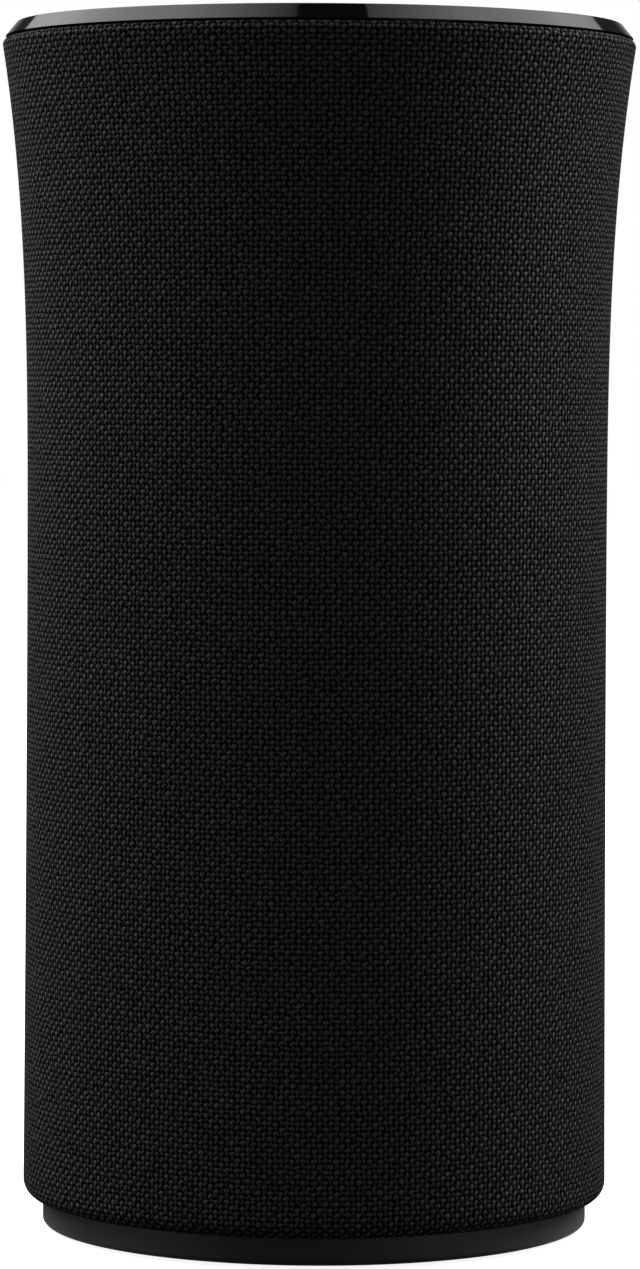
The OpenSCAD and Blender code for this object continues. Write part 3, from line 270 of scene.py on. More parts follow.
    # each yarn's filaments spread their shine across the way that they run
    turn = calc(tree, "MULTIPLY_ADD", over_warp, -0.25, 0.25)
    tangent = add(tree, "ShaderNodeTangent", direction_type="UV_MAP", uv_map="UVMap")
    fuzz = calc(tree, "MULTIPLY", gleam, FUZZ)
    surface(tree, Base_Color=dyed, Roughness=0.6, Sheen_Weight=fuzz, Sheen_Roughness=0.45,
            Sheen_Tint=colour("8d8d90"), IOR=1.5, Specular_IOR_Level=shine, Normal=bump,
            Anisotropic=0.8, Anisotropic_Rotation=turn, Tangent=tangent)
    return made


NOISE_SPAN = (0.45, 0.95)  # what the two mixed noises span
FINE_SHARE = 0.4  # of the fine noise in a mix
GLOSS_SPAN = 0.05  # how far roughness strays to either side


def plain_finish(name, base, rough, grain=0.4, depth=0.01, cloud=12.0, tone=0.12,
                 stretch=(1.0, 1.0, 1.0), rings=0.0, bands=0.0, **sockets):
    """A finish that a few numbers describe. grain, cloud, rings and bands are real sizes in
    millimetres: of the fine texture, of the broad unevenness, and of the pitch of marks left
    by turning on a lathe or by a winding. depth is how deep the texture is, in millimetres."""
    made, tree = new_material(name)
    place = add(tree, "ShaderNodeTexCoord", out="Object")
    drawn = add(tree, "ShaderNodeMapping", {"Vector": place, "Scale": stretch})
    fine = add(tree, "ShaderNodeTexNoise",
               {"Vector": drawn, "Scale": 1 / (grain * MM), "Detail": 3.0, "Roughness": 0.6})
    broad = add(tree, "ShaderNodeTexNoise",
                {"Vector": place, "Scale": 1 / (cloud * MM), "Detail": 2.0})
    height = fine
    if rings or bands:
        # a wave of scale 1 repeats every tau / 20
        marks = add(tree, "ShaderNodeTexWave",
                    {"Vector": place, "Scale": 1 / ((rings or bands) * MM) / 20 * math.tau,
                     "Distortion": 0.4},
                    wave_type="RINGS" if rings else "BANDS",
                    **({"rings_direction": "Z"} if rings else {"bands_direction": "Z"}))
        height = calc(tree, "MULTIPLY_ADD", fine, FINE_SHARE, marks)
    mixed = calc(tree, "MULTIPLY_ADD", fine, FINE_SHARE, broad)
    spread = remap(tree, mixed, NOISE_SPAN, (0.0, 1.0))
    tint = colour(base)
    dyed = mix(tree, spread, shade(tint, 1 - tone), shade(tint, 1 + tone))
    gloss = remap(tree, mixed, NOISE_SPAN,
                  (max(rough - GLOSS_SPAN, 0.02), min(rough + GLOSS_SPAN, 1.0)))
    bump = add(tree, "ShaderNodeBump", {"Height": height, "Strength": 1.0, "Distance": depth * MM})
    surface(tree, Base_Color=dyed, Roughness=gloss, Normal=bump, **sockets)
    return made


# What each part is made of: the material's name, its colour and roughness, and its texture.
FINISHES = {
    # near-black injection moulding, even satin with a very fine erosion texture
    "shell_plastic": ("Moulded ABS, fine satin", "1f2023", 0.55, dict(grain=0.25, depth=0.012)),
    "dark_plastic": ("Moulded ABS, charcoal", "26282b", 0.5, dict(grain=0.3, depth=0.012)),
    # deep gloss black with the faint waviness of a sprayed and buffed coat
    "gloss_black": ("Piano black lacquer", "040405", 0.05,
                    dict(grain=5.0, depth=0.0015, cloud=40.0, tone=0.05, IOR=1.5)),
    # black glass; faint smears make its gloss uneven
    "panel_black": ("Back-printed glass, black", "030304", 0.07,
                    dict(grain=9.0, depth=0.0008, cloud=24.0, tone=0.05, IOR=1.52)),
    # cool grey print, flat and even
    "mark_grey": ("Screen-printed ink, grey", "77797c", 0.45,
                  dict(grain=0.12, depth=0.004, tone=0.05)),
    # smoky translucent ring that hides the lamps behind it
    "light_diffuser": ("Smoked polycarbonate", "2b2d30", 0.28,
                       dict(grain=0.2, depth=0.004, tone=0.05, IOR=1.58, Coat_Weight=0.3)),
    "led_body": ("Epoxy lens, straw", "d9d2b0", 0.25, dict(grain=0.3, depth=0.004)),
    # bright but slightly streaky tin
    "can_metal": ("Tinned steel sheet", "b9babd", 0.32,
                  dict(grain=0.35, depth=0.004, stretch=(1.0, 8.0, 1.0), Metallic=1.0)),
    # dark plated steel with the fine rings of its rolling
    "screw_steel": ("Black-zinc steel", "5b5c60", 0.38,
                    dict(grain=0.15, depth=0.006, tone=0.2, Metallic=1.0)),
    # dull, slightly dusty skin
    "surround_rubber": ("Butyl rubber, moulded", "151517", 0.62,
                        dict(grain=0.2, depth=0.01, tone=0.2)),
    "foot_rubber": ("Silicone rubber, moulded", "18181a", 0.72,
                    dict(grain=0.3, depth=0.015, cloud=6.0, tone=0.25)),
    # pressed pulp: short fibres lying every way
    "cone_paper": ("Pressed paper pulp, black", "1f2023", 0.85,
                   dict(grain=0.6, depth=0.05, stretch=(1.0, 2.5, 1.0), tone=0.35,
                        Sheen_Weight=0.1)),
    "dome_metal": ("Anodised aluminium, grey", "5a5c60", 0.3,
                   dict(grain=0.1, depth=0.002, Metallic=1.0)),
    # side-by-side turns of lacquered wire
    "copper": ("Enamelled copper wire", "b8703a", 0.3,
               dict(grain=0.2, depth=0.03, bands=0.3, Metallic=1.0)),
    "spider_cloth": ("Resin-dipped cotton", "a88449", 0.8,
                     dict(grain=0.5, depth=0.05, stretch=(1.0, 3.0, 1.0), tone=0.3,
                          Sheen_Weight=0.2)),
    "basket_steel": ("Powder-coated steel", "3b3d40", 0.5, dict(grain=0.6, depth=0.02, tone=0.1)),
    "plate_steel": ("Zinc-plated steel", "a2a5ab", 0.36,
                    dict(grain=0.3, depth=0.004, rings=0.35, cloud=8.0, tone=0.12, Metallic=1.0)),
    "ferrite": ("Sintered ferrite", "353639", 0.58, dict(grain=0.5, depth=0.03, tone=0.3)),
    "wadding_white": ("Polyester wadding", "dcdad4", 0.95,
                      dict(grain=1.2, depth=0.6, stretch=(1.0, 1.0, 4.0), cloud=9.0, tone=0.12,
                           Sheen_Weight=0.5)),
    "chip_black": ("Epoxy moulding compound", "17171a", 0.6,
                   dict(grain=0.12, depth=0.006, tone=0.15)),
    "capacitor_blue": ("PVC sleeve, navy", "232c4a", 0.35, dict(grain=0.8, depth=0.006, tone=0.12)),
    # long draw lines from the extrusion die
    "heat_sink_metal": ("Extruded aluminium, clear anodised", "a9acb1", 0.38,
                        dict(grain=0.25, depth=0.006, stretch=(6.0, 0.5, 6.0), Metallic=1.0)),
    "connector_black": ("Glass-filled nylon, black", "17181a", 0.45,
                        dict(grain=0.4, depth=0.012, stretch=(1.0, 1.0, 3.0), tone=0.2)),
    "plunger_red": ("Acetal, red", "b9402f", 0.35, dict(grain=0.3, depth=0.004)),
    # coarser erosion texture, which keeps the base matt
    "base_plastic": ("Moulded ABS, coarse matt", "1e1f21", 0.42,
                     dict(grain=0.35, depth=0.012, cloud=25.0, tone=0.1, Sheen_Weight=0.5)),
    "button_plastic": ("Moulded ABS, button", "27282b", 0.42, dict(grain=0.25, depth=0.008)),
    "ribbon_film": ("Polyimide film, white cover", "d6d1c6", 0.32, dict(grain=0.5, depth=0.01)),
    # twisted plies, a touch paler and sleeker than the cloth they close
    "sewing_thread": ("Bonded polyester thread, black", "1f1f21", 0.55,
                      dict(grain=0.15, depth=0.03, bands=0.3, tone=0.25, Sheen_Weight=0.15)),
    "red_insulation": ("Silicone wire cover, red", "8c2721", 0.5, dict(grain=0.4, depth=0.01)),
    "grey_insulation": ("PVC wire cover, grey", "35353a", 0.45, dict(grain=0.4, depth=0.01)),
}


def circuit_board():
    """Glass-epoxy board under green solder mask: a satin sheet in which the copper tracks
    stand a little proud and paler, in straight runs with square corners."""
    made, tree = new_material("Solder mask over glass epoxy, green")
    place = add(tree, "ShaderNodeTexCoord", out="Object")
    tracks = add(tree, "ShaderNodeTexBrick",
                 {"Vector": place, "Scale": 1 / (3.2 * MM), "Mortar Size": 0.035,
                  "Mortar Smooth": 0.1, "Brick Width": 1.6, "Row Height": 0.3},
                 out="Fac", offset=0.4)
    pads = add(tree, "ShaderNodeTexVoronoi",
               {"Vector": place, "Scale": 1 / (2.4 * MM), "Randomness": 0.8})
    pads = calc(tree, "LESS_THAN", pads, 0.16)
    metal = calc(tree, "MAXIMUM", tracks, pads)
    green = mix(tree, metal, colour("14382a"), colour("2c6a48"))
    bump = add(tree, "ShaderNodeBump", {"Height": metal, "Strength": 1.0, "Distance": 0.035 * MM})
    surface(tree, Base_Color=green, Roughness=0.35, Normal=bump, Coat_Weight=0.2)
    return made


MADE = {}


def material(slot):
    """The finish of one of the record's material slots, made once."""
    if slot not in MADE:
        if slot == "black_cloth":
            MADE[slot] = woven_cloth()
        elif slot == "circuit_board":
            MADE[slot] = circuit_board()
        else:
            name, base, rough, rest = FINISHES[slot]
            MADE[slot] = plain_finish(name, base, rough, **rest)
    return MADE[slot]


def coat(piece, slot):
    """Gives a piece the finish of a slot."""
    for place in piece.material_slots:
        place.material = material(slot)


def dress(*nodes):
    """Gives CAD nodes the finish of their slots."""
    for name in nodes:
        coat(frame["nodes"][name], SLOTS[name])


# ---------------- geometry trees

def new_tree(name, sizes, counts=(), materials=()):
    """A geometry tree with named inputs, and a dictionary of their sockets."""
    tree = bpy.data.node_groups.new(name, "GeometryNodeTree")
    face = tree.interface
    face.new_socket("Geometry", in_out="INPUT", socket_type="NodeSocketGeometry")
    face.new_socket("Geometry", in_out="OUTPUT", socket_type="NodeSocketGeometry")
    for key in sizes:
        face.new_socket(key, in_out="INPUT", socket_type="NodeSocketFloat")
    for key in counts:
        face.new_socket(key, in_out="INPUT", socket_type="NodeSocketInt")
    for key in materials:
        face.new_socket(key, in_out="INPUT", socket_type="NodeSocketMaterial")
    source = tree.nodes.new("NodeGroupInput")
    return tree, {socket.name: socket for socket in source.outputs if socket.name}


def grow(name, tree, values, base=None, wall=None):
    """Runs a tree on an object, gives it a wall inwards where one is asked for, keeps the
    result as a plain mesh, and returns the object."""
    piece = bpy.data.objects.new(name, base or bpy.data.meshes.new(name))
    bpy.context.scene.collection.objects.link(piece)
    made = piece.modifiers.new("Shape", "NODES")
    made.node_group = tree
    for item in tree.interface.items_tree:
        if item.in_out == "INPUT" and item.name in values:
            made[item.identifier] = values[item.name]
    if wall:
        solid = piece.modifiers.new("Wall", "SOLIDIFY")
        solid.thickness, solid.offset, solid.use_even_offset = wall, -1.0, True
    graph = bpy.context.evaluated_depsgraph_get()
    mesh = bpy.data.meshes.new_from_object(piece.evaluated_get(graph))
    piece.modifiers.clear()
    piece.data = mesh
    mesh.name = name
    if not mesh.polygons:
        raise RuntimeError(f"{name} came out empty")
    return piece


def side_radius(tree, at, height):
    """The sleeve's radius at a height: two power curves that meet at the waist."""
    rise = calc(tree, "SUBTRACT", height, at["Waist height"])
    span = calc(tree, "SUBTRACT", at["Widest height"], at["Waist height"])
    upper = calc(tree, "DIVIDE", rise, span, use_clamp=True)
    upper = calc(tree, "POWER", upper, at["Flare power"])
    fall = calc(tree, "SUBTRACT", at["Waist height"], height)
    lower = calc(tree, "DIVIDE", fall, at["Waist height"], use_clamp=True)
    lower = calc(tree, "POWER", lower, at["Sag power"])
    flare = calc(tree, "SUBTRACT", at["Top radius"], at["Waist radius"])
    sag = calc(tree, "SUBTRACT", at["Bottom radius"], at["Waist radius"])
    total = calc(tree, "MULTIPLY_ADD", upper, flare, at["Waist radius"])
    return calc(tree, "MULTIPLY_ADD", lower, sag, total)


OUTLINE_SIZES = ("Bottom", "Bottom radius", "Bottom round", "Flange radius", "Waist height",
                 "Waist radius", "Sag power", "Widest height", "Top radius", "Top round",
                 "Flare power", "Fold radius", "Hem radius", "Hem height")
# Points along the side, a rounded edge, the fold, and the short lines between and after them
SIDE_POINTS, EDGE_POINTS, FOLD_POINTS, FLAT_POINTS = 96, 9, 7, 3
# Points closer together than this are one, along the outline and where the sheet closes
LINE_WELD, SHEET_WELD = 0.02 * MM, 0.01 * MM


def outline(tree, at):
    """The line that the cloth follows, in the XZ plane: in from the turned-under lower edge,
    round the corner, up the waisted side, over the top edge and down inside as the hem."""
    def arc(x, z, radius, start, steps):
        curve = add(tree, "GeometryNodeCurveArc",
                    {"Resolution": steps, "Radius": radius, "Start Angle": start,
                     "Sweep Angle": math.pi / 2})
        return add(tree, "GeometryNodeTransform",
                   {"Geometry": curve, "Translation": point(tree, x, 0.0, z),
                    "Rotation": (math.pi / 2, 0.0, 0.0)})

    def line(x0, z0, x1, z1, steps):
        curve = add(tree, "GeometryNodeCurvePrimitiveLine",
                    {"Start": point(tree, x0, 0.0, z0), "End": point(tree, x1, 0.0, z1)})
        return add(tree, "GeometryNodeResampleCurve", {"Curve": curve, "Count": steps})

    round_z = calc(tree, "ADD", at["Bottom"], at["Bottom round"])
    round_x = calc(tree, "SUBTRACT", side_radius(tree, at, round_z), at["Bottom round"])
    side = line(0.0, round_z, 0.0, at["Widest height"], SIDE_POINTS)
    height = split(tree, add(tree, "GeometryNodeInputPosition"))["Z"]
    side = add(tree, "GeometryNodeSetPosition",
               {"Geometry": side,
                "Position": point(tree, side_radius(tree, at, height), 0.0, height)})
    top_z = calc(tree, "ADD", at["Widest height"], at["Top round"])
    top_x = calc(tree, "SUBTRACT", at["Top radius"], at["Top round"])
    fold_x = calc(tree, "ADD", at["Hem radius"], at["Fold radius"])
    fold_z = calc(tree, "SUBTRACT", top_z, at["Fold radius"])
    lines = [
        line(at["Flange radius"], at["Bottom"], round_x, at["Bottom"], 2),
        arc(round_x, round_z, at["Bottom round"], -math.pi / 2, EDGE_POINTS),
        side,
        arc(top_x, at["Widest height"], at["Top round"], 0.0, EDGE_POINTS),
        line(top_x, top_z, fold_x, top_z, FLAT_POINTS),
        arc(fold_x, fold_z, at["Fold radius"], math.pi / 2, FOLD_POINTS),
        line(at["Hem radius"], fold_z, at["Hem radius"], at["Hem height"], FLAT_POINTS),
    ]
    joined = add(tree, "GeometryNodeJoinGeometry", {"Geometry": lines})
    wire = add(tree, "GeometryNodeCurveToMesh", {"Curve": joined})
    wire = add(tree, "GeometryNodeMergeByDistance", {"Geometry": wire, "Distance": LINE_WELD})
    wire = add(tree, "GeometryNodeMeshToCurve", {"Mesh": wire})
    return add(tree, "GeometryNodeReverseCurve", {"Curve": wire})


def values_of(group):
    """A group's settings, under the names of the trees' inputs: rib_width is Rib width."""
    return {name.replace("_", " ").capitalize(): getattr(group, name)
            for name in group.__annotations__}


def outline_values():
    """The outline's sizes, from the frame and the cloth's own settings."""
    cloth = bpy.context.scene.speaker_cloth
    low, high = CLOTH_BOX
    return {
        **values_of(cloth), "Bottom": low.z, "Top radius": high.x,
        "Widest height": high.z - cloth.top_round, "Hem height": high.z - cloth.hem_depth,
    }


def sleeve_tree():
    """A sheet of cloth carried once round the outline, with its threads' own coordinates."""
    tree, at = new_tree("Cloth sleeve", OUTLINE_SIZES, ("Steps around",), ("Cloth",))
    path = outline(tree, at)
    rows = add(tree, "GeometryNodeAttributeDomainSize", {"Geometry": path}, out="Point Count",
               component="CURVE")
    columns = calc(tree, "ADD", at["Steps around"], 1.0)
    sheet = add(tree, "GeometryNodeMeshGrid",
                {"Size X": 1.0, "Size Y": 1.0, "Vertices X": columns, "Vertices Y": rows})
    index = add(tree, "GeometryNodeInputIndex")
    row = calc(tree, "MODULO", index, rows)
    column = calc(tree, "FLOOR", calc(tree, "DIVIDE", index, rows))
    share = calc(tree, "DIVIDE", column, at["Steps around"])
    spot = add(tree, "GeometryNodeSampleIndex",
               {"Geometry": path, "Value": add(tree, "GeometryNodeInputPosition"), "Index": row},
               data_type="FLOAT_VECTOR")
    reach = add(tree, "GeometryNodeSampleIndex",
                {"Geometry": path, "Value": add(tree, "GeometryNodeSplineParameter", out="Length"),
                 "Index": row}, data_type="FLOAT")
    turn = calc(tree, "MULTIPLY_ADD", share, math.tau, BACK)
    spot = add(tree, "ShaderNodeVectorRotate", {"Vector": spot, "Angle": turn},
               rotation_type="Z_AXIS")
    girth = calc(tree, "MULTIPLY", at["Waist radius"], math.tau)
    width = calc(tree, "MULTIPLY", share, girth)
    thread = point(tree, width, reach)
    thread = add(tree, "GeometryNodeFieldOnDomain", {"Value": thread}, data_type="FLOAT_VECTOR",
                 domain="POINT")
    sheet = add(tree, "GeometryNodeStoreNamedAttribute",
                {"Geometry": sheet, "Name": "UVMap", "Value": thread},
                data_type="FLOAT2", domain="CORNER")
    sheet = add(tree, "GeometryNodeSetPosition", {"Geometry": sheet, "Position": spot})
    sheet = add(tree, "GeometryNodeMergeByDistance", {"Geometry": sheet, "Distance": SHEET_WELD})
    return finish_tree(tree, sheet, at["Cloth"])


def finish_tree(tree, geometry, finish):
    """Ends a tree, with real copies, smooth shading and one material, and returns it."""
    solid = add(tree, "GeometryNodeRealizeInstances", {"Geometry": geometry})
    solid = add(tree, "GeometryNodeSetShadeSmooth", {"Geometry": solid})
    solid = add(tree, "GeometryNodeSetMaterial", {"Geometry": solid, "Material": finish})
    add(tree, "NodeGroupOutput", {"Geometry": solid})
    return tree


def foot_tree():
    """Radial ribs under the foot ring, left out where the cable channel crosses it."""
    tree, at = new_tree("Foot ring ribs",
                        ("Ring radius", "Rib length", "Rib width", "Rib height", "Gap half width"),
                        ("Ribs",), ("Rubber",))
    spots = add(tree, "GeometryNodeMeshCircle",
                {"Vertices": at["Ribs"], "Radius": at["Ring radius"]})
    x, y, _ = split(tree, add(tree, "GeometryNodeInputPosition"))
    near = calc(tree, "LESS_THAN", calc(tree, "ABSOLUTE", x), at["Gap half width"])
    behind = calc(tree, "GREATER_THAN", y, 0.0)
    gap = calc(tree, "MULTIPLY", near, behind)
    spots = add(tree, "GeometryNodeDeleteGeometry", {"Geometry": spots, "Selection": gap})
    size = point(tree, at["Rib length"], at["Rib width"], at["Rib height"])
    rib = add(tree, "GeometryNodeMeshCube", {"Size": size})
    lift = calc(tree, "MULTIPLY", at["Rib height"], 0.5)
    rib = add(tree, "GeometryNodeTransform",
              {"Geometry": rib, "Translation": point(tree, 0.0, 0.0, lift)})
    turn = calc(tree, "ARCTAN2", y, x)
    ribs = add(tree, "GeometryNodeInstanceOnPoints",
               {"Points": spots, "Instance": rib, "Rotation": point(tree, 0.0, 0.0, turn)})
    ring = at["Ribs"].node.outputs["Geometry"]
    whole = add(tree, "GeometryNodeJoinGeometry", {"Geometry": [ring, ribs]})
    return finish_tree(tree, whole, at["Rubber"])


SEAM_START, SEAM_END = 2 * MM, 216 * MM  # along the outline, from the turned-under edge
WELT_SIDES = 10
STITCH_LEAN = 0.35  # radians


def seam_tree():
    """The closing seam up the back of the sleeve: a narrow welt and a row of stitches each side."""
    tree, at = new_tree("Sleeve seam",
                        OUTLINE_SIZES + ("Stitch pitch", "Stitch length", "Thread radius",
                                         "Row spacing", "Welt radius", "Start", "End"),
                        (), ("Thread",))
    path = outline(tree, at)
    path = add(tree, "GeometryNodeTrimCurve",
               {"Curve": path, "Start": at["Start"], "End": at["End"]}, mode="LENGTH")
    path = add(tree, "GeometryNodeTransform", {"Geometry": path, "Rotation": (0.0, 0.0, BACK)})
    rib = add(tree, "GeometryNodeCurvePrimitiveCircle",
              {"Resolution": WELT_SIDES, "Radius": at["Welt radius"]})
    made = [add(tree, "GeometryNodeCurveToMesh",
                {"Curve": path, "Profile Curve": rib, "Fill Caps": True})]
    for side in (1.0, -1.0):
        shift = calc(tree, "MULTIPLY", at["Row spacing"], side)
        row = add(tree, "GeometryNodeTransform",
                  {"Geometry": path, "Translation": point(tree, shift, 0.0, 0.0)})
        spots = add(tree, "GeometryNodeCurveToPoints", {"Curve": row, "Length": at["Stitch pitch"]},
                    mode="LENGTH")
        turn = spots.node.outputs["Rotation"]
        stitch = add(tree, "GeometryNodeMeshUVSphere",
                     {"Segments": 8, "Rings": 6, "Radius": at["Thread radius"]})
        long = calc(tree, "DIVIDE", at["Stitch length"], at["Thread radius"])
        long = calc(tree, "MULTIPLY", long, 0.5)
        stitch = add(tree, "GeometryNodeTransform",
                     {"Geometry": stitch, "Rotation": (0.0, side * STITCH_LEAN, 0.0),
                      "Scale": point(tree, 1.0, 1.0, long)})
        made.append(add(tree, "GeometryNodeInstanceOnPoints",
                        {"Points": spots, "Instance": stitch, "Rotation": turn}))
    # pressed flat where the seam runs over the widest edge
    sewn = add(tree, "GeometryNodeRealizeInstances",
               {"Geometry": add(tree, "GeometryNodeJoinGeometry", {"Geometry": made})})
    x, y, z = split(tree, add(tree, "GeometryNodeInputPosition"))
    pressed = point(tree, x, calc(tree, "MINIMUM", y, at["Top radius"]), z)
    sewn = add(tree, "GeometryNodeSetPosition", {"Geometry": sewn, "Position": pressed})
    return finish_tree(tree, sewn, at["Thread"])


# ---------------- settings

def number(name, description, default, **more):
    """A setting that is a number."""
    return bpy.props.FloatProperty(name=name, description=description, default=default, **more)


def length(name, description, default):
    """A setting that is a length, in metres."""
    return number(name, description, default, subtype="DISTANCE", unit="LENGTH", precision=5)


def angle(name, description, degrees):
    """A setting that is an angle; Blender keeps it in radians."""
    return number(name, description, math.radians(degrees), subtype="ANGLE")


def count(name, description, default):
    """A setting that is a whole number."""
    return bpy.props.IntProperty(name=name, description=description, default=default)


class ClothSettings(bpy.types.PropertyGroup):
    waist_radius: length("Waist radius", "Outer radius of the cloth at its waist", 53.8 * MM)
    waist_height: length("Waist height", "Height of the waist", 125 * MM)
    bottom_radius: length("Bottom radius", "Radius that the side would reach at the floor",
                          54.4 * MM)
    bottom_round: length("Bottom round", "Radius of the lower edge", 3 * MM)
    top_round: length("Top round", "Radius of the upper edge", 1.3 * MM)
    flange_radius: length("Flange radius", "Where the turned-under edge ends", 51.05 * MM)
    fold_radius: length("Fold radius", "Radius of the fold inside the upper edge", 1.0 * MM)
    hem_radius: length("Hem radius", "Radius of the hem inside the upper edge", 54.7 * MM)
    hem_depth: length("Hem depth", "How far the hem reaches down inside", 3.6 * MM)
    thickness: length("Thickness", "Thickness of the cloth with its glue", 0.85 * MM)
    flare_power: number("Flare power", "How sharply the flare gathers towards the top", 3.1)
    sag_power: number("Sag power", "How the lower half widens towards the base", 1.4)
    steps_around: count("Steps around", "Faces round the sleeve", 256)
    warp_count: count("Upright threads", "Threads counted round the sleeve", 348)
    weft_pitch: length("Weft pitch", "Distance between two level threads", 0.95 * MM)
    warp_fill: number("Upright yarn", "Half width of an upright yarn, in thread pitches", 0.45)
    weft_fill: number("Level yarn", "Half width of a level yarn, in thread pitches", 0.58)
    stray: number("Stray", "How far a single pad strays, in thread pitches", 0.24)
    wander: number("Wander", "How far a yarn strays, in thread pitches", 0.7)
    lean: number("Lean", "How far the yarns' twist leans the pads", -0.15)
    twill: number("Twill", "How much of a diagonal line the pads make", 0.7)
    relief: length("Relief", "Height of the weave's relief", 0.55 * MM)
    colour: bpy.props.FloatVectorProperty(
        name="Colour", description="Dyed colour of the yarn", subtype="COLOR",
        default=colour("252527")[:3])


class SeamSettings(bpy.types.PropertyGroup):
    stitch_pitch: length("Stitch pitch", "Distance between two stitches", 2.6 * MM)
    stitch_length: length("Stitch length", "Length of one stitch", 1.9 * MM)
    thread_radius: length("Thread radius", "Radius of the sewing thread", 0.17 * MM)
    row_spacing: length("Row spacing", "Distance of a stitch row from the seam", 1.4 * MM)
    welt_radius: length("Welt radius", "Radius of the rolled welt", 0.32 * MM)


class FootSettings(bpy.types.PropertyGroup):
    ribs: count("Ribs", "Ribs under the foot ring", 150)
    rib_height: length("Rib height", "Height of a rib", 0.4 * MM)
    rib_width: length("Rib width", "Width of a rib", 0.7 * MM)
    edge: length("Plain edge", "Width left plain at each side of the ring", 0.5 * MM)


class StageSettings(bpy.types.PropertyGroup):
    camera_distance: length("Camera distance", "Distance of the camera from the axis", 0.9375)
    camera_height: length("Camera height", "Height of the camera above the floor", 0.1591)
    camera_pitch: angle("Camera pitch", "How far the camera looks down", 2.985)
    camera_roll: angle("Camera roll", "How far the camera leans", 0.28)
    camera_turn: angle("Camera turn", "How far the camera looks to the right of the axis", 0.038)
    focal_length: number("Focal length", "Lens of the camera, in millimetres", 143.0,
                         subtype="DISTANCE_CAMERA")
    box_radiance: number("Softbox brightness", "Radiance of the two softboxes", 2.5)
    side_radiance: number("Side light brightness", "Radiance of the two low side lights", 1.1)
    strip_radiance: number("Strip brightness", "Radiance of the two strips at floor level", 1.8)
    fill_radiance: number("Fill brightness", "Radiance of the soft fill from the front right", 0.6)
    ambient: number("Ambient", "Brightness of the room for matt surfaces", 0.11)


# ---------------- pieces

class SPEAKER_OT_cloth_sleeve(bpy.types.Operator):
    """Pull the woven sleeve over the grille shell"""
    bl_idname = "speaker.cloth_sleeve"
    bl_label = "Cloth sleeve"

    def execute(self, context):
        cloth = context.scene.speaker_cloth
        values = {**outline_values(), "Cloth": material("black_cloth")}
        sleeve = grow("cloth_sleeve", sleeve_tree(), values, wall=cloth.thickness)
        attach(sleeve, "speaker")
        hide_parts("fabric_sleeve")
        return {"FINISHED"}


class SPEAKER_OT_sleeve_seam(bpy.types.Operator):
    """Sew the sleeve shut up the back"""
    bl_idname = "speaker.sleeve_seam"
    bl_label = "Sleeve seam"

    def execute(self, context):
        values = {
            **outline_values(), **values_of(context.scene.speaker_seam),
            "Start": SEAM_START, "End": SEAM_END, "Thread": material("sewing_thread"),
        }
        piece = grow("sleeve_seam", seam_tree(), values)
        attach(piece, "speaker")
        return {"FINISHED"}


class SPEAKER_OT_rim(bpy.types.Operator):
    """Finish the glossy rim, the touch panel, its marks and the light ring"""
    bl_idname = "speaker.rim"
    bl_label = "Rim and touch panel"

    def execute(self, context):
        dress("trim_ring", "touch_panel", "touch_marks", "light_ring", "touch_board",
              "status_leds", "microphones", "top_chassis", "trim_screws", "chassis_screws")
        return {"FINISHED"}


class SPEAKER_OT_base(bpy.types.Operator):
    """Finish the base ring, the base plate, its connectors, buttons and screws"""
    bl_idname = "speaker.base"
    bl_label = "Base"

    def execute(self, context):
        dress("base_ring", "base_plate", "base_screws", "power_jack", "service_port",
              "button_switches", "setup_button", "setup_plunger", "pair_button", "pair_plunger")
        return {"FINISHED"}


SOLE_DEPTH = 0.1 * MM  # points this close to the lowest one are the sole
RIB_ROOT = 0.05 * MM  # how far a rib reaches into the ring
CHANNEL_HALF_WIDTH = 5 * MM  # of the cable channel across the ring


class SPEAKER_OT_foot(bpy.types.Operator):
    """Mould the rubber foot ring with its ribs"""
    bl_idname = "speaker.foot"
    bl_label = "Foot ring"

    def execute(self, context):
        foot = context.scene.speaker_foot
        low, high = FOOT_BOX
        mesh = frame["nodes"]["foot_pad"].data.copy()
        inner = min(Vector(v.co[:2]).length for v in mesh.vertices)
        for vertex in mesh.vertices:
            if vertex.co.z < low.z + SOLE_DEPTH:
                vertex.co.z = low.z + foot.rib_height
        values = {
            **values_of(foot), "Ring radius": (high.x + inner) / 2,
            "Rib length": high.x - inner - 2 * foot.edge, "Rib height": foot.rib_height + RIB_ROOT,
            "Gap half width": CHANNEL_HALF_WIDTH, "Rubber": material("foot_rubber"),
        }
        piece = grow("foot_ring", foot_tree(), values, base=mesh)
        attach(piece, "speaker")
        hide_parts("foot_pad")
        return {"FINISHED"}


# The suspension rings: the body at the inner edge, and how far the parts that keep their
# shape reach, from the inner and from the outer edge. They cover the glued lands and, on
# the spider, what lies low over the basket's floor.
FLEXING = {
    "woofer_surround": ("woofer_diaphragm", 2.0 * MM, 2.3 * MM),
    "woofer_spider": ("woofer_diaphragm", 0.0, 4.5 * MM),
    "tweeter_surround": ("tweeter_diaphragm", 0.0, 0.0),
}


def flexing_ring(node, body, inner_land, outer_land):
    """A copy of a ring, in its own finish, in place of its CAD node: its points are laid out
    by radius, then go back to their places."""
    mesh = frame["nodes"][node].data.copy()
    piece = bpy.data.objects.new(f"{node}_flexing", mesh)
    bpy.context.scene.collection.objects.link(piece)
    places = [vertex.co.copy() for vertex in mesh.vertices]
    for vertex in mesh.vertices:
        vertex.co = (Vector(vertex.co[:2]).length, 0.0, vertex.co.z)
    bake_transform(piece)
    for vertex, place in zip(mesh.vertices, places):
        vertex.co = place
    finish = SLOTS[node]
    coat(piece, finish)
    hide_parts(node)


class SPEAKER_OT_suspension(bpy.types.Operator):
    """Fit the two surrounds and the spider"""
    bl_idname = "speaker.suspension"
    bl_label = "Surrounds and spider"

    def execute(self, context):
        for node, fitting in FLEXING.items():
            flexing_ring(node, *fitting)
        return {"FINISHED"}


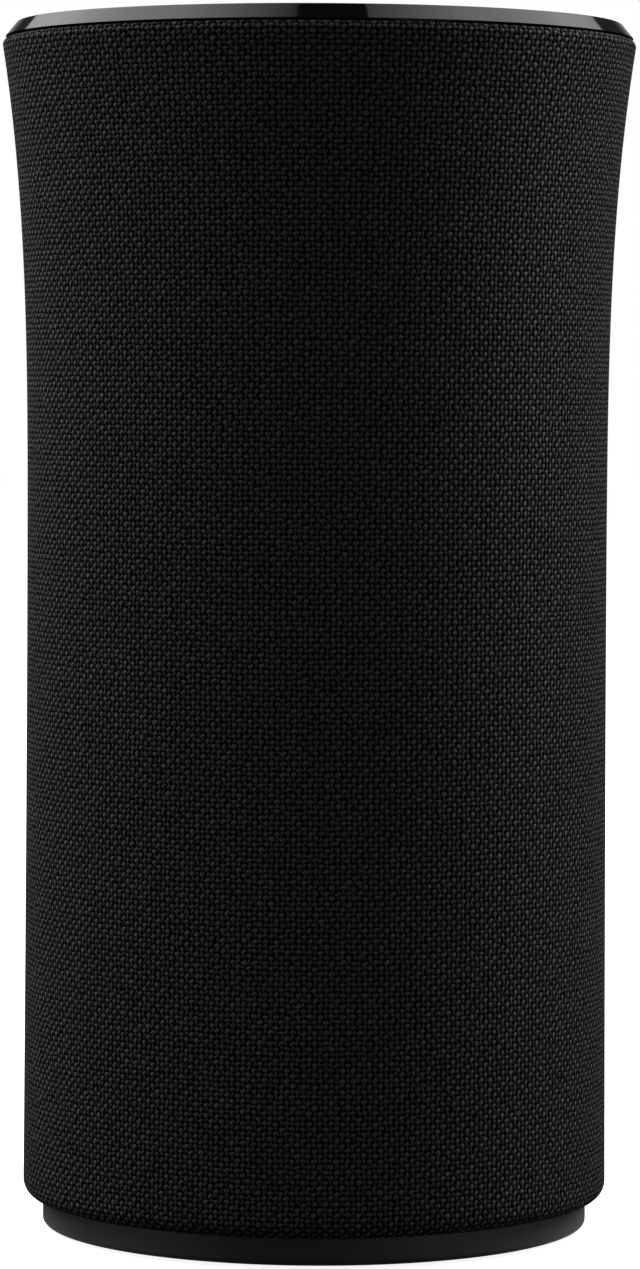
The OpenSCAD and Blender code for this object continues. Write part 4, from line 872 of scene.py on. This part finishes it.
class SPEAKER_OT_inner_parts(bpy.types.Operator):
    """Finish the drive units, lenses, cabinet, electronics and leads inside"""
    bl_idname = "speaker.inner_parts"
    bl_label = "Inner parts"

    def execute(self, context):
        done = {"fabric_sleeve", "foot_pad", *FLEXING}
        dress(*[name for name in frame["nodes"] if name not in done])
        return {"FINISHED"}


# ---------------- stage

MIDDLE = (0.0, 0.0, 0.12)  # what most lights point at


def softbox(name, place, size, radiance, aim=MIDDLE, core=0.0, squeeze=1.0):
    """A studio softbox of a given brightness, even all over. With a core, its cloth front is
    even that far round the lamp in its middle and fades over the next metre; squeeze draws the
    fade out sideways."""
    lamp = bpy.data.lights.new(name, "AREA")
    lamp.shape = "RECTANGLE"
    lamp.size, lamp.size_y = size
    lamp.energy = math.pi * radiance * size[0] * size[1]
    if core:
        lamp.use_nodes = True
        tree = lamp.node_tree
        tree.nodes.clear()
        spot = add(tree, "ShaderNodeNewGeometry", out="Parametric")
        spot = vector(tree, "SUBTRACT", spot, (0.5, 0.5, 0.0))
        spot = vector(tree, "MULTIPLY", spot, (size[0] * squeeze, size[1], 0.0))
        away = vector(tree, "LENGTH", spot, out="Value")
        fade = remap(tree, away, (core, core + 1.0), (1.0, 0.0))
        add(tree, "ShaderNodeOutputLight",
            {"Surface": add(tree, "ShaderNodeEmission", {"Strength": fade})})
    holder = bpy.data.objects.new(name, lamp)
    bpy.context.scene.collection.objects.link(holder)
    holder.location = place
    holder.rotation_mode = "QUATERNION"
    holder.rotation_quaternion = (Vector(aim) - Vector(place)).to_track_quat("-Z", "Y")


WALL_TOP = (0.16, 0.26)  # sines of the angles between which wall fades into ceiling
WALL_GREYS = (0.26, 0.04)  # of the wall and of the ceiling, as gloss sees them
WHITE = (1.0, 1.0, 1.0, 1.0)


def studio_world(ambient):
    """White behind the object, and a dark ceiling for what gloss mirrors from above."""
    world = bpy.data.worlds.new("Studio")
    world.use_nodes = True
    tree = world.node_tree
    tree.nodes.clear()
    path = add(tree, "ShaderNodeLightPath", out="Is Camera Ray")
    seen = calc(tree, "MAXIMUM", path, path.node.outputs["Is Transmission Ray"])
    rise = split(tree, add(tree, "ShaderNodeTexCoord", out="Generated"))["Z"]
    backdrop = remap(tree, rise, WALL_TOP, WALL_GREYS)
    backdrop = calc(tree, "MULTIPLY", backdrop, path.node.outputs["Is Glossy Ray"])
    other = calc(tree, "SUBTRACT", 1.0, path.node.outputs["Is Glossy Ray"])
    other = calc(tree, "MULTIPLY", other, ambient)
    level = calc(tree, "ADD", backdrop, other)
    level = calc(tree, "MAXIMUM", level, seen)
    glow = add(tree, "ShaderNodeBackground", {"Color": WHITE, "Strength": level})
    add(tree, "ShaderNodeOutputWorld", {"Surface": glow})
    bpy.context.scene.world = world


FOOT_SHADOW = (0.78, 0.92)  # from where to where its glow sets in, in radii of the base
FLOOR_GLOW = 0.9
# The floor's radius and sides, and how far it lies below the part
FLOOR_REACH, FLOOR_SIDES, FLOOR_DROP = 6.0, 64, 0.05 * MM


def floor_material():
    """Matt white floor: it glows to white for the camera and keeps a soft shadow."""
    made, tree = new_material("Painted board, white")
    path = add(tree, "ShaderNodeLightPath", out="Is Camera Ray")
    white = mix(tree, path, colour("505050"), colour("f2f2f2"))
    paint = add(tree, "ShaderNodeBsdfDiffuse", {"Color": white})
    # the ground right under the base stays in the dark
    place = add(tree, "ShaderNodeTexCoord", out="Object")
    away = vector(tree, "LENGTH", place, out="Value")
    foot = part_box("base_ring")[1].x
    open_floor = remap(tree, away, [part * foot for part in FOOT_SHADOW], (0.0, FLOOR_GLOW))
    share = calc(tree, "MULTIPLY", path, open_floor)
    glow = add(tree, "ShaderNodeEmission", {"Color": WHITE, "Strength": share})
    lit = add(tree, "ShaderNodeAddShader", [paint, glow])
    under = add(tree, "ShaderNodeNewGeometry", out="Backfacing")
    clear = add(tree, "ShaderNodeBsdfTransparent")
    add(tree, "ShaderNodeOutputMaterial",
        {"Surface": add(tree, "ShaderNodeMixShader", [under, lit, clear])})
    return made


# Each side's lights: which way they lie along X, the softbox's size and squeeze, and the shares
# that the softbox and the side light have of their settings' brightness. The left softbox is
# the larger and brighter one, and the right side light the stronger one.
SIDES = {
    "left": (-1.0, (2.44, 2.5), 0.58, 0.95, 0.1),
    "right": (1.0, (1.79, 2.08), 0.9, 0.8, 3.0),
}


class SPEAKER_OT_stage(bpy.types.Operator):
    """Set up the pale floor, the lights, the room and the camera"""
    bl_idname = "speaker.stage"
    bl_label = "Stage"

    def execute(self, context):
        scene = context.scene
        stage = scene.speaker_stage
        turns = [math.tau * i / FLOOR_SIDES for i in range(FLOOR_SIDES)]
        ring = [(FLOOR_REACH * math.cos(turn), FLOOR_REACH * math.sin(turn),
                 CAD_BOX[0].z - FLOOR_DROP) for turn in turns]
        mesh = bpy.data.meshes.new("studio_floor")
        mesh.from_pydata(ring, [], [list(range(FLOOR_SIDES))])
        mesh.materials.append(floor_material())
        ground = bpy.data.objects.new("studio_floor", mesh)
        scene.collection.objects.link(ground)

        for name, (side, size, squeeze, high, low) in SIDES.items():
            softbox(f"softbox_{name}", (side * 0.9, 0.45, 1.4), size,
                    stage.box_radiance * high, core=0.4, squeeze=squeeze)
            softbox(f"side_light_{name}", (side * 0.65, 0.3, 0.45), (0.4, 0.4),
                    stage.side_radiance * low)
            # a low strip that the satin base mirrors towards its sides
            softbox(f"strip_{name}", (side * 0.72, -0.22, 0.04), (0.9, 0.06),
                    stage.strip_radiance, aim=(0.0, 0.0, 0.01))
        softbox("fill", (0.75, -0.9, 0.3), (0.5, 0.5), stage.fill_radiance)
        studio_world(stage.ambient)

        lens = bpy.data.cameras.new("camera")
        lens.lens = stage.focal_length
        lens.sensor_width = 36.0
        lens.clip_start, lens.clip_end = 0.05, 20.0
        camera = bpy.data.objects.new("camera", lens)
        scene.collection.objects.link(camera)
        place = Matrix.Translation((0.0, -stage.camera_distance, stage.camera_height))
        look = (Matrix.Rotation(-stage.camera_turn, 4, "Z")
                @ Matrix.Rotation(math.pi / 2 - stage.camera_pitch, 4, "X")
                @ Matrix.Rotation(stage.camera_roll, 4, "Z"))
        camera.matrix_world = place @ look
        scene.camera = camera
        scene.view_settings.view_transform = "Standard"
        return {"FINISHED"}


# ---------------- panel and running

STEPS = ("cloth_sleeve", "sleeve_seam", "rim", "base", "foot", "suspension", "inner_parts", "stage")


class SPEAKER_PT_panel(bpy.types.Panel):
    bl_idname = "SPEAKER_PT_panel"
    bl_label = "Smart speaker"
    bl_space_type = "VIEW_3D"
    bl_region_type = "UI"
    bl_category = "Speaker"

    def draw(self, context):
        for step in STEPS:
            self.layout.operator(f"speaker.{step}")
        for name in GROUPS:
            group = getattr(context.scene, name)
            box = self.layout.box()
            for setting in group.__annotations__:
                box.prop(group, setting)


GROUPS = {
    "speaker_cloth": ClothSettings, "speaker_seam": SeamSettings,
    "speaker_foot": FootSettings, "speaker_stage": StageSettings,
}
CLASSES = (
    *GROUPS.values(), SPEAKER_OT_cloth_sleeve, SPEAKER_OT_sleeve_seam, SPEAKER_OT_rim,
    SPEAKER_OT_base, SPEAKER_OT_foot, SPEAKER_OT_suspension, SPEAKER_OT_inner_parts,
    SPEAKER_OT_stage, SPEAKER_PT_panel,
)


def register():
    for each in CLASSES:
        bpy.utils.register_class(each)
    for name, group in GROUPS.items():
        setattr(bpy.types.Scene, name, bpy.props.PointerProperty(type=group))


def unregister():
    for name in reversed(GROUPS):
        delattr(bpy.types.Scene, name)
    for each in reversed(CLASSES):
        bpy.utils.unregister_class(each)


def main():
    register()
    for step in STEPS:
        getattr(bpy.ops.speaker, step)()


if __name__ == "__main__":
    main()
